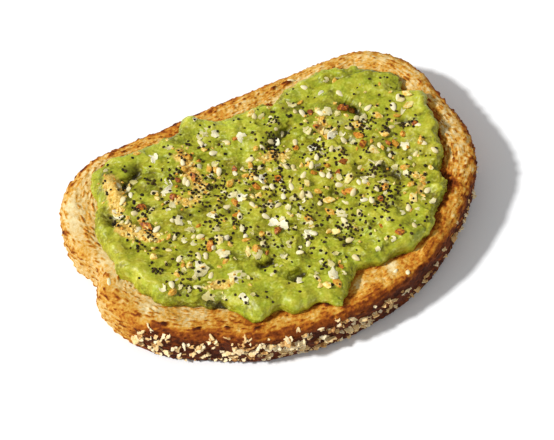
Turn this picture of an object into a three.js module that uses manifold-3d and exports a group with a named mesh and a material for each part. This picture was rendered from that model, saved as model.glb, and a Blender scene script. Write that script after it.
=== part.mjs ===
// Avocado toast: one slice of toasted wholegrain bread, its domed crust rolled in oats,
// with a layer of smashed avocado and a topping of seeds, dried onion and toasted garlic.
//
// Millimetres, +Z up. The slice lies flat on z = 0 with its long side along X and its
// middle over the origin. The domed top crust of the loaf faces -Y, the flat base +Y.
// Outlines are given round the middle by an angle in degrees, from +X towards +Y.
import * as THREE from 'three';
import Module from 'manifold-3d';

const wasm = await Module();
wasm.setup();

// ---- Driving dimensions ----------------------------------------------------------

const SLICE = {
  halfWidth: 71.1,
  halfDepth: 47.6,
  thickness: 17,
  baseSquareness: 4.04, // exponent of the squarish outline on the loaf's flat side
  domeSquareness: 1.96, // exponent of the nearly elliptical outline on the domed side
  columns: 104, // corners of the outline
  ringStep: 6.5, // between the rings of corners over the top face
};

// Corners that stand out, which the spread follows, then waists, flanks and a bulge that it
// doesn't, where the loaf rose unevenly in its tin: angle, how far the outline moves out,
// and half its width in angle.
const SLICE_CORNERS = [
  { at: 150, reach: 2.2, width: 14 },
  { at: 38, reach: 2.1, width: 14 },
];
const SLICE_WAISTS = [
  { at: 174.6, reach: -4.2, width: 5 },
  { at: 138, reach: 1.2, width: 5 },
  { at: 118, reach: -1, width: 5 },
  { at: 31, reach: -1.7, width: 7 },
  { at: 24, reach: -0.8, width: 3 },
  { at: 15, reach: -2.1, width: 7 },
  { at: -28, reach: -1.9, width: 16 },
  { at: -141, reach: -1.5, width: 8 },
];

// The cut face rises to a crest near its edge, then rounds down to the crust.
const RIM = {
  inset: 3.4, // from the outline in to the crest, on the domed side
  sideInset: 3.0, // more than that at the two ends
  drop: 3.2, // from the crest down to the top of the crust wall
  crest: 0.5, // of the crest above the middle of the face
  crestFall: 8, // over which the crest falls to the middle of the face
};
const RIM_CURLS = [{ at: 0, reach: 1.6, width: 45 }]; // how far the crest has curled up, and where

// Unevenness: how high the bumps are, how wide, and a number that sets their pattern.
const CRUMB_SWELL = { height: 0.45, size: 14, salt: 1 };
const CRUMB_LUMP = { height: 0.3, size: 6, salt: 4 };
const CRUST_CRAG = { height: 0.5, size: 5, salt: 2 };
const SPREAD_SWELL = { height: 0.8, size: 14, salt: 5 };
const SPREAD_LUMP = { height: 1.2, size: 6, salt: 6 };
const SPREAD_RUFFLE = { height: 0.8, size: 8, salt: 3 };

const SPREAD = {
  thickness: 5.2,
  margin: 9.5, // of bare bread between the outline and the spread
  edgeWidth: 4.6, // over which the spread rounds off to its edge
  steepEdgeWidth: 2.6, // the same at the end where the knife stopped
  steepEnd: -15, // angle of that end
  lip: 0.3, // the share of its thickness that stands at the very edge
  leastThickness: 2,
  gap: 0.3, // between the spread and the bread under it
  columns: 112, // corners of its edge
  ringStep: 3.1, // between the rings of corners over its top
};

// Lobes of the spread's edge, which reach further out than the rest, and its bays.
const SPREAD_LOBES = [
  { at: -149, reach: -4.4, width: 9 },
  { at: -128, reach: 3, width: 6 },
  { at: -109, reach: 3.6, width: 7 },
  { at: -90, reach: 4.2, width: 6 },
  { at: -70, reach: -3, width: 9 },
  { at: -44, reach: 2.4, width: 9 },
  { at: -24, reach: -0.8, width: 7 },
  { at: -11, reach: -5, width: 6 },
  { at: -3, reach: -1.8, width: 5 },
  { at: 21, reach: -3, width: 4 },
  { at: 30, reach: -3, width: 8 },
  { at: 54, reach: 2.4, width: 6 },
  { at: 70, reach: -2, width: 5 },
  { at: 110, reach: 7.2, width: 5 },
  { at: 121, reach: 2.3, width: 5 },
  { at: 141, reach: 3.6, width: 5 },
  { at: 155, reach: -3.6, width: 5 },
  { at: 172, reach: 1.8, width: 6 },
  { at: -170, reach: -1, width: 12 },
];

// Ridges that the knife and fork left in the spread, then its furrows and holes: a line
// from one point to another, how wide it is to each side, and how far it rises.
const SPREAD_STROKES = [
  { from: [-60, 30], to: [-62, 4], width: 3.2, rise: 1.0 },
  { from: [-47, 34], to: [-37, 37], width: 3.0, rise: 1.3 },
  { from: [-51, 34], to: [-50, 25], width: 2.4, rise: 1.1 },
  { from: [-24, 38], to: [-15, 42], width: 3.0, rise: 0.9 },
  { from: [1, 22], to: [15, 30], width: 3.0, rise: 1.6 },
  { from: [20, 35], to: [28, 41], width: 2.6, rise: 0.9 },
  { from: [34, 31], to: [52, 33], width: 2.6, rise: 1.0 },
  { from: [30, 25], to: [34, 18], width: 3.5, rise: 1.2 },
  { from: [50, 14], to: [58, 4], width: 5.0, rise: 1.1 },
  { from: [-57, -4], to: [-50, -16], width: 4.5, rise: 1.0 },
  { from: [-28, -30], to: [-24, -34], width: 5.5, rise: 1.3 },
  { from: [-14, -38], to: [1, -38], width: 4.0, rise: 0.9 },
  { from: [14, -33], to: [34, -31], width: 4.0, rise: 0.9 },
  { from: [-47, 27.5], to: [-40, 32], width: 2.2, rise: -3.0 },
  { from: [-56.3, 23], to: [-56, 15], width: 1.6, rise: -1.4 },
  { from: [4, 20.3], to: [12, 23.8], width: 1.6, rise: -1.6 },
  { from: [36, 25], to: [39.5, 18], width: 1.6, rise: -2.8 },
  { from: [51, 9.5], to: [52, 8], width: 2.0, rise: -2.4 },
  { from: [37, -4], to: [39, -9], width: 2.0, rise: -1.8 },
  { from: [-18, -20], to: [-14.5, -20.3], width: 1.8, rise: -3.0 },
  { from: [-10, -29], to: [-7, -28.5], width: 1.7, rise: -2.4 },
  { from: [-39, -24], to: [-36, -27], width: 2.0, rise: -1.8 },
];

// What is strewn on the spread and stuck to the crust, largest first.
const ONION = { count: 20, length: 4.8, width: 3.6, thickness: 0.9, spacing: 4.5, tilt: 0.35 };
const GARLIC = { count: 30, length: 3.2, width: 2.6, thickness: 2.0, spacing: 3.4, tilt: 0.5 };
const SESAME = { count: 54, length: 3.2, width: 2.0, thickness: 1.2, spacing: 3.0, tilt: 0.3 };
const OAT = { count: 48, length: 4.6, width: 3.4, thickness: 1.2, tilt: 0.35 };
const OATED_CRUST = { from: -163, to: -9, lowest: 3, highest: 12.5 };
const TOPPING = {
  sunk: 0.3, // the share of a piece's thickness that is pressed in
  edge: 3.5, // bare spread inside its outline
  bandMiddle: 2,
  bandLean: -0.12,
  bandWidth: 26,
  endFade: 14,
  scattered: 0.5, // how thickly it lies in the band, where a pinch lies 1 thick
};
const ABOVE = 60; // a height over everything, from which a piece is dropped
const BEYOND = 90; // a distance outside everything, from which a flake is pressed on

// Where a pinch of each kind fell in a heap: its middle and its radius.
const ONION_HEAPS = [
  { at: [37, -26], radius: 4 },
  { at: [-13, 33], radius: 3 },
  { at: [-34, 18], radius: 4 },
  { at: [-2, -5], radius: 5 },
  { at: [-34, -27], radius: 4 },
  { at: [-5, -31], radius: 4 },
  { at: [30, 12], radius: 4 },
  { at: [-45, -14], radius: 4 },
];
const GARLIC_HEAPS = [
  { at: [-24, 24], radius: 5 },
  { at: [-6, 9], radius: 6 },
  { at: [25, 21], radius: 5 },
  { at: [37, 10], radius: 4 },
  { at: [50, 10], radius: 3 },
  { at: [12, -5], radius: 4 },
  { at: [-27, -13], radius: 4 },
  { at: [47, -11], radius: 3 },
  { at: [5, -32], radius: 3 },
  { at: [-43, -10], radius: 3 },
];
const SESAME_HEAPS = [
  { at: [-4, -30], radius: 4 },
  { at: [-28, -5], radius: 5 },
  { at: [0, 8], radius: 6 },
  { at: [35, 15], radius: 5 },
  { at: [-12, 30], radius: 4 },
  { at: [25, -8], radius: 6 },
];

// Seeds that fell on the bare rim of the bread.
const LOOSE_SESAME = [
  { at: -179, inset: 4.5 },
  { at: -61, inset: 5.0 },
  { at: -58, inset: 2.6 },
  { at: 61, inset: 3.6 },
];

// ---- Small helpers -----------------------------------------------------------------

const RADIAN = Math.PI / 180;
const { lerp, smoothstep } = THREE.MathUtils;

// Multiples of these two fractions fill a square evenly, without rows or clumps.
const EVEN_ACROSS = 0.7548776662;
const EVEN_UP = 0.569840291;

const fraction = (value) => value - Math.floor(value);

// A number from 0 to 1 that looks drawn by lot but is the same every time.
function draw(index, salt) {
  return fraction(Math.sin(index * 78.233 + salt * 12.9898) * 43758.5453);
}

function latticeValue(i, j, salt) {
  return 2 * fraction(Math.sin(i * 127.1 + j * 311.7 + salt * 74.7) * 43758.5453) - 1;
}

// Smooth random bumps from -1 to 1 over a plane.
function noise(x, y, { size, salt }) {
  const i = Math.floor(x / size);
  const j = Math.floor(y / size);
  const u = smoothstep(x / size - i, 0, 1);
  const v = smoothstep(y / size - j, 0, 1);
  const near = lerp(latticeValue(i, j, salt), latticeValue(i + 1, j, salt), u);
  const far = lerp(latticeValue(i, j + 1, salt), latticeValue(i + 1, j + 1, salt), u);
  return lerp(near, far, v);
}

// The sum of bell-shaped bumps round an outline, at an angle.
function bumps(list, angle) {
  let total = 0;
  for (const { at, reach, width } of list) {
    const turn = fraction((angle - at + 180) / 360) * 360 - 180;
    total += reach * Math.exp(-((turn / width) ** 2));
  }
  return total;
}

// ---- Forms ---------------------------------------------------------------------------

// The slice's outline without its waists: a superellipse, squarer on the base side.
function fullOutline(angle) {
  const cosine = Math.abs(Math.cos(angle * RADIAN)) / SLICE.halfWidth;
  const sine = Math.abs(Math.sin(angle * RADIAN)) / SLICE.halfDepth;
  const towardsBase = smoothstep(Math.sin(angle * RADIAN), -0.12, 0.3);
  const power = lerp(SLICE.domeSquareness, SLICE.baseSquareness, towardsBase);
  return (cosine ** power + sine ** power) ** (-1 / power) + bumps(SLICE_CORNERS, angle);
}

const sliceOutline = (angle) => fullOutline(angle) + bumps(SLICE_WAISTS, angle);

function spreadOutline(angle) {
  const reach = fullOutline(angle) - SPREAD.margin + bumps(SPREAD_LOBES, angle);
  const x = reach * Math.cos(angle * RADIAN);
  const y = reach * Math.sin(angle * RADIAN);
  return reach + SPREAD_RUFFLE.height * noise(x, y, SPREAD_RUFFLE);
}

// How far the crest lies inside the outline.
function rimInset(angle) {
  return RIM.inset + RIM.sideInset * Math.cos(angle * RADIAN) ** 4;
}

// How far the crest lies above the middle of the face.
const crestHeight = (angle) => RIM.crest + bumps(RIM_CURLS, angle);

// Height of the slice's top face.
function sliceTop(x, y) {
  const angle = Math.atan2(y, x) / RADIAN;
  const inset = sliceOutline(angle) - Math.hypot(x, y);
  const rim = rimInset(angle);
  const swell = CRUMB_SWELL.height * noise(x, y, CRUMB_SWELL);
  const lumps = swell + CRUMB_LUMP.height * noise(x, y, CRUMB_LUMP);
  if (inset < rim) {
    const along = Math.max(0, 1 - inset / rim);
    const fall = RIM.drop * (1 - Math.sqrt(1 - along ** 2));
    return SLICE.thickness + crestHeight(angle) - fall + lumps * (1 - along);
  }
  const inward = smoothstep(inset, rim, rim + RIM.crestFall);
  return SLICE.thickness + crestHeight(angle) * (1 - inward) + lumps;
}

function distanceToLine(x, y, from, to) {
  const point = new THREE.Vector3(x, y, 0);
  const line = new THREE.Line3(new THREE.Vector3(...from, 0), new THREE.Vector3(...to, 0));
  return line.closestPointToPoint(point, true, new THREE.Vector3()).distanceTo(point);
}

// Thickness of the spread away from its edge: lumps of mashed fruit and knife strokes.
function spreadThickness(x, y) {
  let height = SPREAD.thickness;
  height += SPREAD_SWELL.height * noise(x, y, SPREAD_SWELL);
  height += SPREAD_LUMP.height * (0.5 - Math.abs(noise(x, y, SPREAD_LUMP)));
  for (const { from, to, width, rise } of SPREAD_STROKES) {
    const away = distanceToLine(x, y, from, to);
    height += rise * Math.exp(-((away / width) ** 2));
  }
  return Math.max(height, SPREAD.leastThickness);
}

// ---- Meshes from rings -----------------------------------------------------------

// Angles of corners that lie evenly along an outline.
function evenAngles(outline, count) {
  const steps = 1440;
  const point = (step) => {
    const angle = (step / steps) * 360 - 180;
    const reach = outline(angle);
    return new THREE.Vector2(Math.cos(angle * RADIAN), Math.sin(angle * RADIAN)).multiplyScalar(reach);
  };
  const lengths = [0];
  for (let step = 1; step <= steps; step++) {
    lengths.push(lengths[step - 1] + point(step).distanceTo(point(step - 1)));
  }
  const angles = [];
  let step = 0;
  for (let corner = 0; corner < count; corner++) {
    const wanted = (corner / count) * lengths[steps];
    while (lengths[step + 1] < wanted) {
      step += 1;
    }
    const part = (wanted - lengths[step]) / (lengths[step + 1] - lengths[step]);
    angles.push(((step + part) / steps) * 360 - 180);
  }
  return angles;
}

// A closed solid from a stack of rings, each a list of { angle, position } in order of
// angle, from the middle of its underside round the edge to the middle of its top.
function solidFromRings(rings, bottomCentre, topCentre) {
  const points = [];
  const faces = [];
  const starts = rings.map((ring) => {
    const start = points.length;
    points.push(...ring.map((corner) => corner.position));
    return start;
  });
  for (let level = 0; level + 1 < rings.length; level++) {
    const lower = rings[level];
    const upper = rings[level + 1];
    let i = 0;
    let j = 0;
    while (i < lower.length || j < upper.length) {
      const a = starts[level] + (i % lower.length);
      const b = starts[level + 1] + (j % upper.length);
      const lowerNext = i < lower.length ? (lower[i + 1]?.angle ?? 180) : Infinity;
      const upperNext = j < upper.length ? (upper[j + 1]?.angle ?? 180) : Infinity;
      if (lowerNext <= upperNext) {
        faces.push([a, starts[level] + ((i + 1) % lower.length), b]);
        i += 1;
      } else {
        faces.push([a, starts[level + 1] + ((j + 1) % upper.length), b]);
        j += 1;
      }
    }
  }
  const closeWith = (centre, level, upwards) => {
    const middle = points.push(centre) - 1;
    const count = rings[level].length;
    for (let corner = 0; corner < count; corner++) {
      const a = starts[level] + corner;
      const b = starts[level] + ((corner + 1) % count);
      faces.push(upwards ? [a, b, middle] : [b, a, middle]);
    }
  };
  closeWith(bottomCentre, 0, false);
  closeWith(topCentre, rings.length - 1, true);
  return solidFromFaces(points, faces);
}

function solidFromFaces(points, faces) {
  return new wasm.Manifold(
    new wasm.Mesh({
      numProp: 3,
      vertProperties: Float32Array.from(points.flatMap((point) => point.toArray())),
      triVerts: Uint32Array.from(faces.flat()),
    }),
  );
}

// A ring of corners at the given angles, placed by a function of angle.
const ringOf = (angles, place) => angles.map((angle) => ({ angle, position: place(angle) }));

function pointAt(angle, reach, height) {
  return new THREE.Vector3(reach * Math.cos(angle * RADIAN), reach * Math.sin(angle * RADIAN), height);
}

// Rings over the inside of a top face, each with fewer corners than the one outside it.
function innerRings(outline, firstInset, step, columns, surface) {
  const middling = (SLICE.halfWidth + SLICE.halfDepth) / 2;
  const count = Math.floor((middling - firstInset) / step);
  const rings = [];
  for (let index = 1; index < count; index++) {
    const share = 1 - index / count;
    const reachAt = (angle) => (outline(angle) - firstInset) * share;
    const corners = Math.max(9, Math.round(columns * share));
    rings.push(
      ringOf(evenAngles(reachAt, corners), (angle) => {
        const flat = pointAt(angle, reachAt(angle), 0);
        return flat.setZ(surface(flat.x, flat.y));
      }),
    );
  }
  return rings;
}

// ---- The bread -----------------------------------------------------------------------

// The slice, with its top face raised by a lift, which shapes the underside of the spread.
function makeLoafSlice(lift) {
  const angles = evenAngles(sliceOutline, SLICE.columns);
  const wallTop = (angle) => SLICE.thickness + crestHeight(angle) - RIM.drop;
  const wallRing = (inset, heightAt) =>
    ringOf(angles, (angle) => {
      const point = pointAt(angle, sliceOutline(angle) - inset, heightAt(angle));
      const crag = noise(point.x + point.z, point.y - point.z, CRUST_CRAG);
      const reach = point.z > 0 ? CRUST_CRAG.height * crag : 0;
      return point.add(pointAt(angle, reach, 0));
    });
  const faceRing = (share) =>
    ringOf(angles, (angle) => {
      const reach = sliceOutline(angle) - share * rimInset(angle);
      const flat = pointAt(angle, reach, 0);
      return flat.setZ(sliceTop(flat.x, flat.y) + lift);
    });
  const surface = (x, y) => sliceTop(x, y) + lift;
  const rings = [
    wallRing(1.8, () => 0),
    wallRing(0.4, () => 0.9),
    wallRing(-0.1, () => 3),
    wallRing(-0.3, () => 7.5),
    wallRing(0, (angle) => wallTop(angle) - 1.2),
    faceRing(0.16),
    faceRing(0.5),
    faceRing(1),
    ...innerRings(sliceOutline, RIM.inset + RIM.sideInset, SLICE.ringStep, SLICE.columns, surface),
  ];
  return solidFromRings(rings, new THREE.Vector3(), new THREE.Vector3(0, 0, surface(0, 0)));
}

// ---- The spread ------------------------------------------------------------------------

function spreadTop(x, y) {
  const angle = Math.atan2(y, x) / RADIAN;
  const inset = Math.max(0, spreadOutline(angle) - Math.hypot(x, y));
  const steepness = Math.exp(-(((angle - SPREAD.steepEnd) / 50) ** 2));
  const edgeWidth = lerp(SPREAD.edgeWidth, SPREAD.steepEdgeWidth, steepness);
  const away = Math.max(0, 1 - inset / edgeWidth);
  const share = lerp(SPREAD.lip, 1, Math.sqrt(1 - away ** 2));
  return sliceTop(x, y) + spreadThickness(x, y) * share;
}

function makeSmash() {
  const angles = evenAngles(spreadOutline, SPREAD.columns);
  const edgeRing = (inset, surface) =>
    ringOf(angles, (angle) => {
      const flat = pointAt(angle, spreadOutline(angle) - inset, 0);
      return flat.setZ(surface(flat.x, flat.y));
    });
  const buried = SLICE.thickness - SPREAD.thickness;
  const rings = [
    edgeRing(1.5, () => buried),
    edgeRing(0.5, (x, y) => sliceTop(x, y) - 0.8),
    edgeRing(0, (x, y) => sliceTop(x, y) + 0.18 * SPREAD.thickness),
    edgeRing(0.25, spreadTop),
    edgeRing(1.6, spreadTop),
    ...innerRings(spreadOutline, 1.6, SPREAD.ringStep, SPREAD.columns, spreadTop),
  ];
  const top = new THREE.Vector3(0, 0, spreadTop(0, 0));
  return solidFromRings(rings, new THREE.Vector3(0, 0, buried), top);
}

// ---- Seeds, flakes and granules ----------------------------------------------------------

// A lens of two rings between two tips. Its corners wander by the given unevenness.
function makeGrain({ length, width, thickness }, sides, tips, unevenness, seed) {
  const points = [new THREE.Vector3(-length / 2, 0, 0)];
  for (const [ring, share] of tips.entries()) {
    const girth = ring === 0 ? 1 : 0.82;
    for (let side = 0; side < sides; side++) {
      const turn = ((side + ring / 2) / sides) * 2 * Math.PI;
      const swell = 1 + unevenness * (2 * draw(side + ring * sides, seed) - 1);
      const y = Math.cos(turn) * (width / 2) * girth * swell;
      const z = Math.sin(turn) * (thickness / 2) * girth * swell;
      points.push(new THREE.Vector3(share * length, y, z));
    }
  }
  points.push(new THREE.Vector3(length / 2, 0, 0));
  const last = points.length - 1;
  const faces = [];
  for (let side = 0; side < sides; side++) {
    const next = (side + 1) % sides;
    faces.push([0, 1 + next, 1 + side]);
    faces.push([1 + side, 1 + next, 1 + sides + side]);
    faces.push([1 + next, 1 + sides + next, 1 + sides + side]);
    faces.push([1 + sides + side, 1 + sides + next, last]);
  }
  return { points, faces };
}

// An irregular plate with a flat top and bottom, such as a flake of oat or onion.
function makeFlake({ length, width, thickness }, sides, seed) {
  const points = [];
  for (const level of [-0.5, 0.5]) {
    for (let side = 0; side < sides; side++) {
      const turn = (side / sides) * 2 * Math.PI;
      const reach = (0.8 + 0.4 * draw(side, seed)) * (level > 0 ? 0.86 : 1);
      const x = Math.cos(turn) * (length / 2) * reach;
      const y = Math.sin(turn) * (width / 2) * reach;
      const curl = 0.12 * x * Math.sign(draw(sides, seed) - 0.5) * (x / length);
      points.push(new THREE.Vector3(x, y, level * thickness + curl));
    }
  }
  const faces = [];
  for (let side = 0; side < sides; side++) {
    const next = (side + 1) % sides;
    faces.push([side, next, sides + side]);
    faces.push([next, sides + next, sides + side]);
    if (side > 0 && next > 0) {
      faces.push([0, next, side]);
      faces.push([sides, sides + side, sides + next]);
    }
  }
  return { points, faces };
}

const shapeOf = {
  onion: (seed) => makeFlake(ONION, 5, seed),
  garlic: (seed) => makeGrain(GARLIC, 5, [-0.24, 0.24], 0.25, seed),
  sesame: (seed) => makeGrain(SESAME, 6, [-0.16, 0.2], 0.05, seed),
  oat: (seed) => makeFlake(OAT, 5, seed + 900),
};

// Presses a shape into a surface where a probe hit it, turned and tilted at random.
function setOn({ points, faces }, kind, { point, normal }, seed) {
  const size = 0.82 + 0.36 * draw(seed, 2);
  const up = new THREE.Vector3(0, 0, 1);
  const leaning = normal.clone();
  leaning.x += kind.tilt * (draw(seed, 8) - 0.5);
  leaning.y += kind.tilt * (draw(seed, 9) - 0.5);
  const turned = new THREE.Quaternion().setFromAxisAngle(up, 2 * Math.PI * draw(seed, 3));
  turned.premultiply(new THREE.Quaternion().setFromUnitVectors(up, leaning.normalize()));
  const place = point.clone().addScaledVector(normal, kind.thickness * size * (0.5 - TOPPING.sunk));
  const pose = new THREE.Matrix4().compose(place, turned, new THREE.Vector3().setScalar(size));
  return solidFromFaces(points.map((corner) => corner.clone().applyMatrix4(pose)), faces);
}

function geometryOf(solid) {
  const mesh = solid.getMesh();
  const geometry = new THREE.BufferGeometry();
  geometry.setAttribute('position', new THREE.BufferAttribute(mesh.vertProperties, 3));
  geometry.setIndex(new THREE.BufferAttribute(mesh.triVerts, 1));
  return geometry;
}

// Finds where a ray from outside first meets a solid, and which way the solid faces there.
function makeProbe(solid) {
  const target = new THREE.Mesh(geometryOf(solid), new THREE.MeshStandardMaterial());
  const caster = new THREE.Raycaster();
  return (origin, direction) => {
    caster.set(origin, direction);
    const [hit] = caster.intersectObject(target);
    return { point: hit.point, normal: hit.face.normal };
  };
}

// A solid without the scraps that a cut or join left loose.
function largestBody(solid) {
  return solid.decompose().reduce((most, body) => (body.volume() > most.volume() ? body : most));
}

const fuse = (solid, pieces) => largestBody(wasm.Manifold.union([solid, ...pieces]));

// How thickly a kind lies at a point: in a band along the middle, which leans a little
// across the slice and thins out towards the ends, and thickest in its own heaps.
function strewing(x, y, heaps) {
  const across = y - TOPPING.bandMiddle - TOPPING.bandLean * x;
  const ends = smoothstep(SLICE.halfWidth - SPREAD.margin - Math.abs(x), 0, TOPPING.endFade);
  let thickness = ends * TOPPING.scattered * Math.exp(-((across / TOPPING.bandWidth) ** 2));
  for (const { at, radius } of heaps) {
    thickness += Math.exp(-((Math.hypot(x - at[0], y - at[1]) / radius) ** 2));
  }
  return thickness;
}

// The topping: shapes of each kind well inside the spread's edge, apart from each other.
function strewOn(probe, kinds) {
  const down = new THREE.Vector3(0, 0, -1);
  const taken = [];
  const pieces = [];
  let attempt = 0;
  for (const { kind, shape, heaps } of kinds) {
    let made = 0;
    while (made < kind.count) {
      attempt += 1;
      const x = SLICE.halfWidth * (2 * fraction(attempt * EVEN_ACROSS) - 1);
      const y = SLICE.halfDepth * (2 * fraction(attempt * EVEN_UP) - 1);
      const inset = spreadOutline(Math.atan2(y, x) / RADIAN) - Math.hypot(x, y);
      const apart = taken.every((place) => Math.hypot(place.x - x, place.y - y) > kind.spacing);
      if (inset < TOPPING.edge || !apart || draw(attempt, 1) > strewing(x, y, heaps)) {
        continue;
      }
      const hit = probe(new THREE.Vector3(x, y, ABOVE), down);
      pieces.push(setOn(shape(attempt), kind, hit, attempt));
      taken.push({ x, y });
      made += 1;
    }
  }
  return pieces;
}

// Oat flakes pressed against the domed crust, and a few seeds that fell on the rim.
function dressCrust(probe) {
  const pieces = [];
  for (let index = 0; index < OAT.count; index++) {
    const angle = lerp(OATED_CRUST.from, OATED_CRUST.to, draw(index, 21));
    const height = lerp(OATED_CRUST.lowest, OATED_CRUST.highest, draw(index, 22));
    const hit = probe(pointAt(angle, BEYOND, height), pointAt(angle, -1, 0));
    pieces.push(setOn(shapeOf.oat(index), OAT, hit, index));
  }
  for (const [index, { at, inset }] of LOOSE_SESAME.entries()) {
    const above = pointAt(at, sliceOutline(at) - inset, ABOVE);
    const hit = probe(above, new THREE.Vector3(0, 0, -1));
    pieces.push(setOn(shapeOf.sesame(index), SESAME, hit, index));
  }
  return pieces;
}

// ---- Assembly ----------------------------------------------------------------------------

const group = new THREE.Group();

function addPiece(name, solid, colour, roughness) {
  const material = new THREE.MeshStandardMaterial({ color: colour, roughness, metalness: 0 });
  const mesh = new THREE.Mesh(geometryOf(solid), material);
  mesh.name = name;
  group.add(mesh);
}

const loafSlice = makeLoafSlice(0);
addPiece('bread_slice', fuse(loafSlice, dressCrust(makeProbe(loafSlice))), 0xc98a45, 0.85);

const smash = makeSmash();
const toppings = strewOn(makeProbe(smash), [
  { kind: ONION, shape: shapeOf.onion, heaps: ONION_HEAPS },
  { kind: GARLIC, shape: shapeOf.garlic, heaps: GARLIC_HEAPS },
  { kind: SESAME, shape: shapeOf.sesame, heaps: SESAME_HEAPS },
]);
const spread = largestBody(fuse(smash, toppings).subtract(makeLoafSlice(SPREAD.gap)));
addPiece('avocado_spread', spread, 0x9fb43a, 0.45);

export default group;
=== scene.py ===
# %% [markdown]
# # Avocado toast
# One slice of toasted wholegrain bread from a loaf rolled in oats, with mashed avocado on
# top, strewn with sesame, poppy seed, toasted garlic and dried onion. The bread and the
# avocado each replace one solid of the frame. Everything small is real mesh at true size,
# one piece for each kind, so that it still is there in the exported model.
#
# The frame gives the room that the finished toast has to fill, so its box is kept first.

# %% The frame
import math
import bmesh
import bpy
import numpy as np
from mathutils import Euler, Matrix, Quaternion, Vector, noise
from mathutils.bvhtree import BVHTree


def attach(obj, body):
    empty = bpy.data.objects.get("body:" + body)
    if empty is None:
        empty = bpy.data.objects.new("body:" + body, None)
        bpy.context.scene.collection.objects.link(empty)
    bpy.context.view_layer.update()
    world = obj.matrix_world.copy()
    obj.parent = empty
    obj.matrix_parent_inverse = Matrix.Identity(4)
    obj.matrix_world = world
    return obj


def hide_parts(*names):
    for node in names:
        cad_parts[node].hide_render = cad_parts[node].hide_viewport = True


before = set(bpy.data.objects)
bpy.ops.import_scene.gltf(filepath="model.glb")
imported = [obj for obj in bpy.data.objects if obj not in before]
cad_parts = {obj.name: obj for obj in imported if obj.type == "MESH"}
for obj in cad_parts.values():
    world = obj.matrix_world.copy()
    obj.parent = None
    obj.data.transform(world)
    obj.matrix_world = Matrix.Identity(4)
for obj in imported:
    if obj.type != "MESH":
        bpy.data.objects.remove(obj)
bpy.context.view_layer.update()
MM = 0.001  # the frame is in metres, and every size below is in millimetres
print("nodes of the frame:", sorted(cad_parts))

# %% [markdown]
# ## Three small helpers
# Colours are picked as the hex values that a screen shows, but the shader reckons in linear
# light, so one function turns them. A material is a tree of nodes, and one function adds a
# node, sets it and wires it. A pattern's scale is given as the size of its features in
# millimetres: Object coordinates are in metres, so the scale is 1000 divided by that size.

# %% Colour, nodes and pattern sizes
def colour(hex_code):
    channels = [int(hex_code[at:at + 2], 16) / 255 for at in (1, 3, 5)]
    linear = [c / 12.92 if c <= 0.04045 else ((c + 0.055) / 1.055) ** 2.4 for c in channels]
    return (*linear, 1.0)


def add(tree, kind, inputs, stops=(), **settings):
    node = tree.nodes.new("ShaderNode" + kind)
    for name, value in settings.items():
        setattr(node, name, value)
    for name, value in inputs.items():
        if isinstance(value, bpy.types.NodeSocket):
            tree.links.new(value, node.inputs[name])
        else:
            node.inputs[name].default_value = value
    for number, (place, hex_code) in enumerate(stops):
        marks = node.color_ramp.elements
        mark = marks[number] if number < 2 else marks.new(place)
        mark.position = place
        mark.color = colour(hex_code)
    return node


def per_mm(size):
    return 1000 / size


print("golden crust in linear light:", [round(c, 3) for c in colour("#c87a28")[:3]])

# %% [markdown]
# ## Noise that is the same every time
# Bread and mash are uneven, but the same toast has to come out of every run. So nothing is
# drawn from a clock: a number is hashed out of its place in a row, and bumps are hashed out
# of the corners of a grid. The frame's own solids are built on the same two functions, and
# so the dressed surfaces follow their lumps. Finer detail is Perlin noise on top.

# %% Draws and bumps
def fraction(value):
    return value - np.floor(value)


def draw(index, salt):
    return fraction(np.sin(index * 78.233 + salt * 12.9898) * 43758.5453)


def lerp(low, high, share):
    return low + (high - low) * share


def smoothstep(value, low, high):
    share = np.clip((value - low) / (high - low), 0, 1)
    return share * share * (3 - 2 * share)


def lattice(i, j, salt):
    return 2 * fraction(np.sin(i * 127.1 + j * 311.7 + salt * 74.7) * 43758.5453) - 1


def lumps(x, y, size, salt):
    i, j = np.floor(x / size), np.floor(y / size)
    u, v = smoothstep(x / size - i, 0, 1), smoothstep(y / size - j, 0, 1)
    near = lerp(lattice(i, j, salt), lattice(i + 1, j, salt), u)
    far = lerp(lattice(i, j + 1, salt), lattice(i + 1, j + 1, salt), u)
    return lerp(near, far, v)


def perlin(points, size, octaves):
    scaled = (points / size).tolist()
    return np.array([noise.fractal(p, 1.0, 2.0, octaves, noise_basis="PERLIN_ORIGINAL") for p in scaled])


print("bumps over 5 mm:", np.round(lumps(np.arange(5.0), np.zeros(5), 2.0, 1), 2))

# %% [markdown]
# ## The outlines
# A loaf slice is a superellipse that is squarer on the loaf's flat base (+Y) than on its
# domed top (-Y), with a few corners and waists where it rose unevenly in the tin. The spread
# keeps inside it by a margin, with lobes and bays where the knife stopped. Both are given as
# a reach from the middle for an angle in degrees, as in the frame's own construction.

# %% Outline of the slice and of the spread
HALF_WIDTH, HALF_DEPTH = 71.1, 47.6
DOME_SQUARENESS, BASE_SQUARENESS = 1.96, 4.04
THICKNESS = 17.0

# angle, reach outwards, half its width in degrees
CORNERS = [(150, 2.2, 14), (38, 2.1, 14)]
WAISTS = [
    (174.6, -4.2, 5), (138, 1.2, 5), (118, -1, 5), (31, -1.7, 7), (24, -0.8, 3), (15, -2.1, 7),
    (-28, -1.9, 16), (-141, -1.5, 8),
]
LOBES = [
    (-149, -4.4, 9), (-128, 3, 6), (-109, 3.6, 7), (-90, 4.2, 6), (-70, -3, 9), (-44, 2.4, 9),
    (-24, -0.8, 7), (-11, -5, 6), (-3, -1.8, 5), (21, -3, 4), (30, -3, 8), (54, 2.4, 6),
    (70, -2, 5), (110, 7.2, 5), (121, 2.3, 5), (141, 3.6, 5), (155, -3.6, 5), (172, 1.8, 6),
    (-170, -1, 12),
]
SPREAD_MARGIN = 9.5
RUFFLE_HEIGHT, RUFFLE_SIZE = 0.8, 8


def cosine(angle):
    return np.cos(np.radians(angle))


def sine(angle):
    return np.sin(np.radians(angle))


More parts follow.
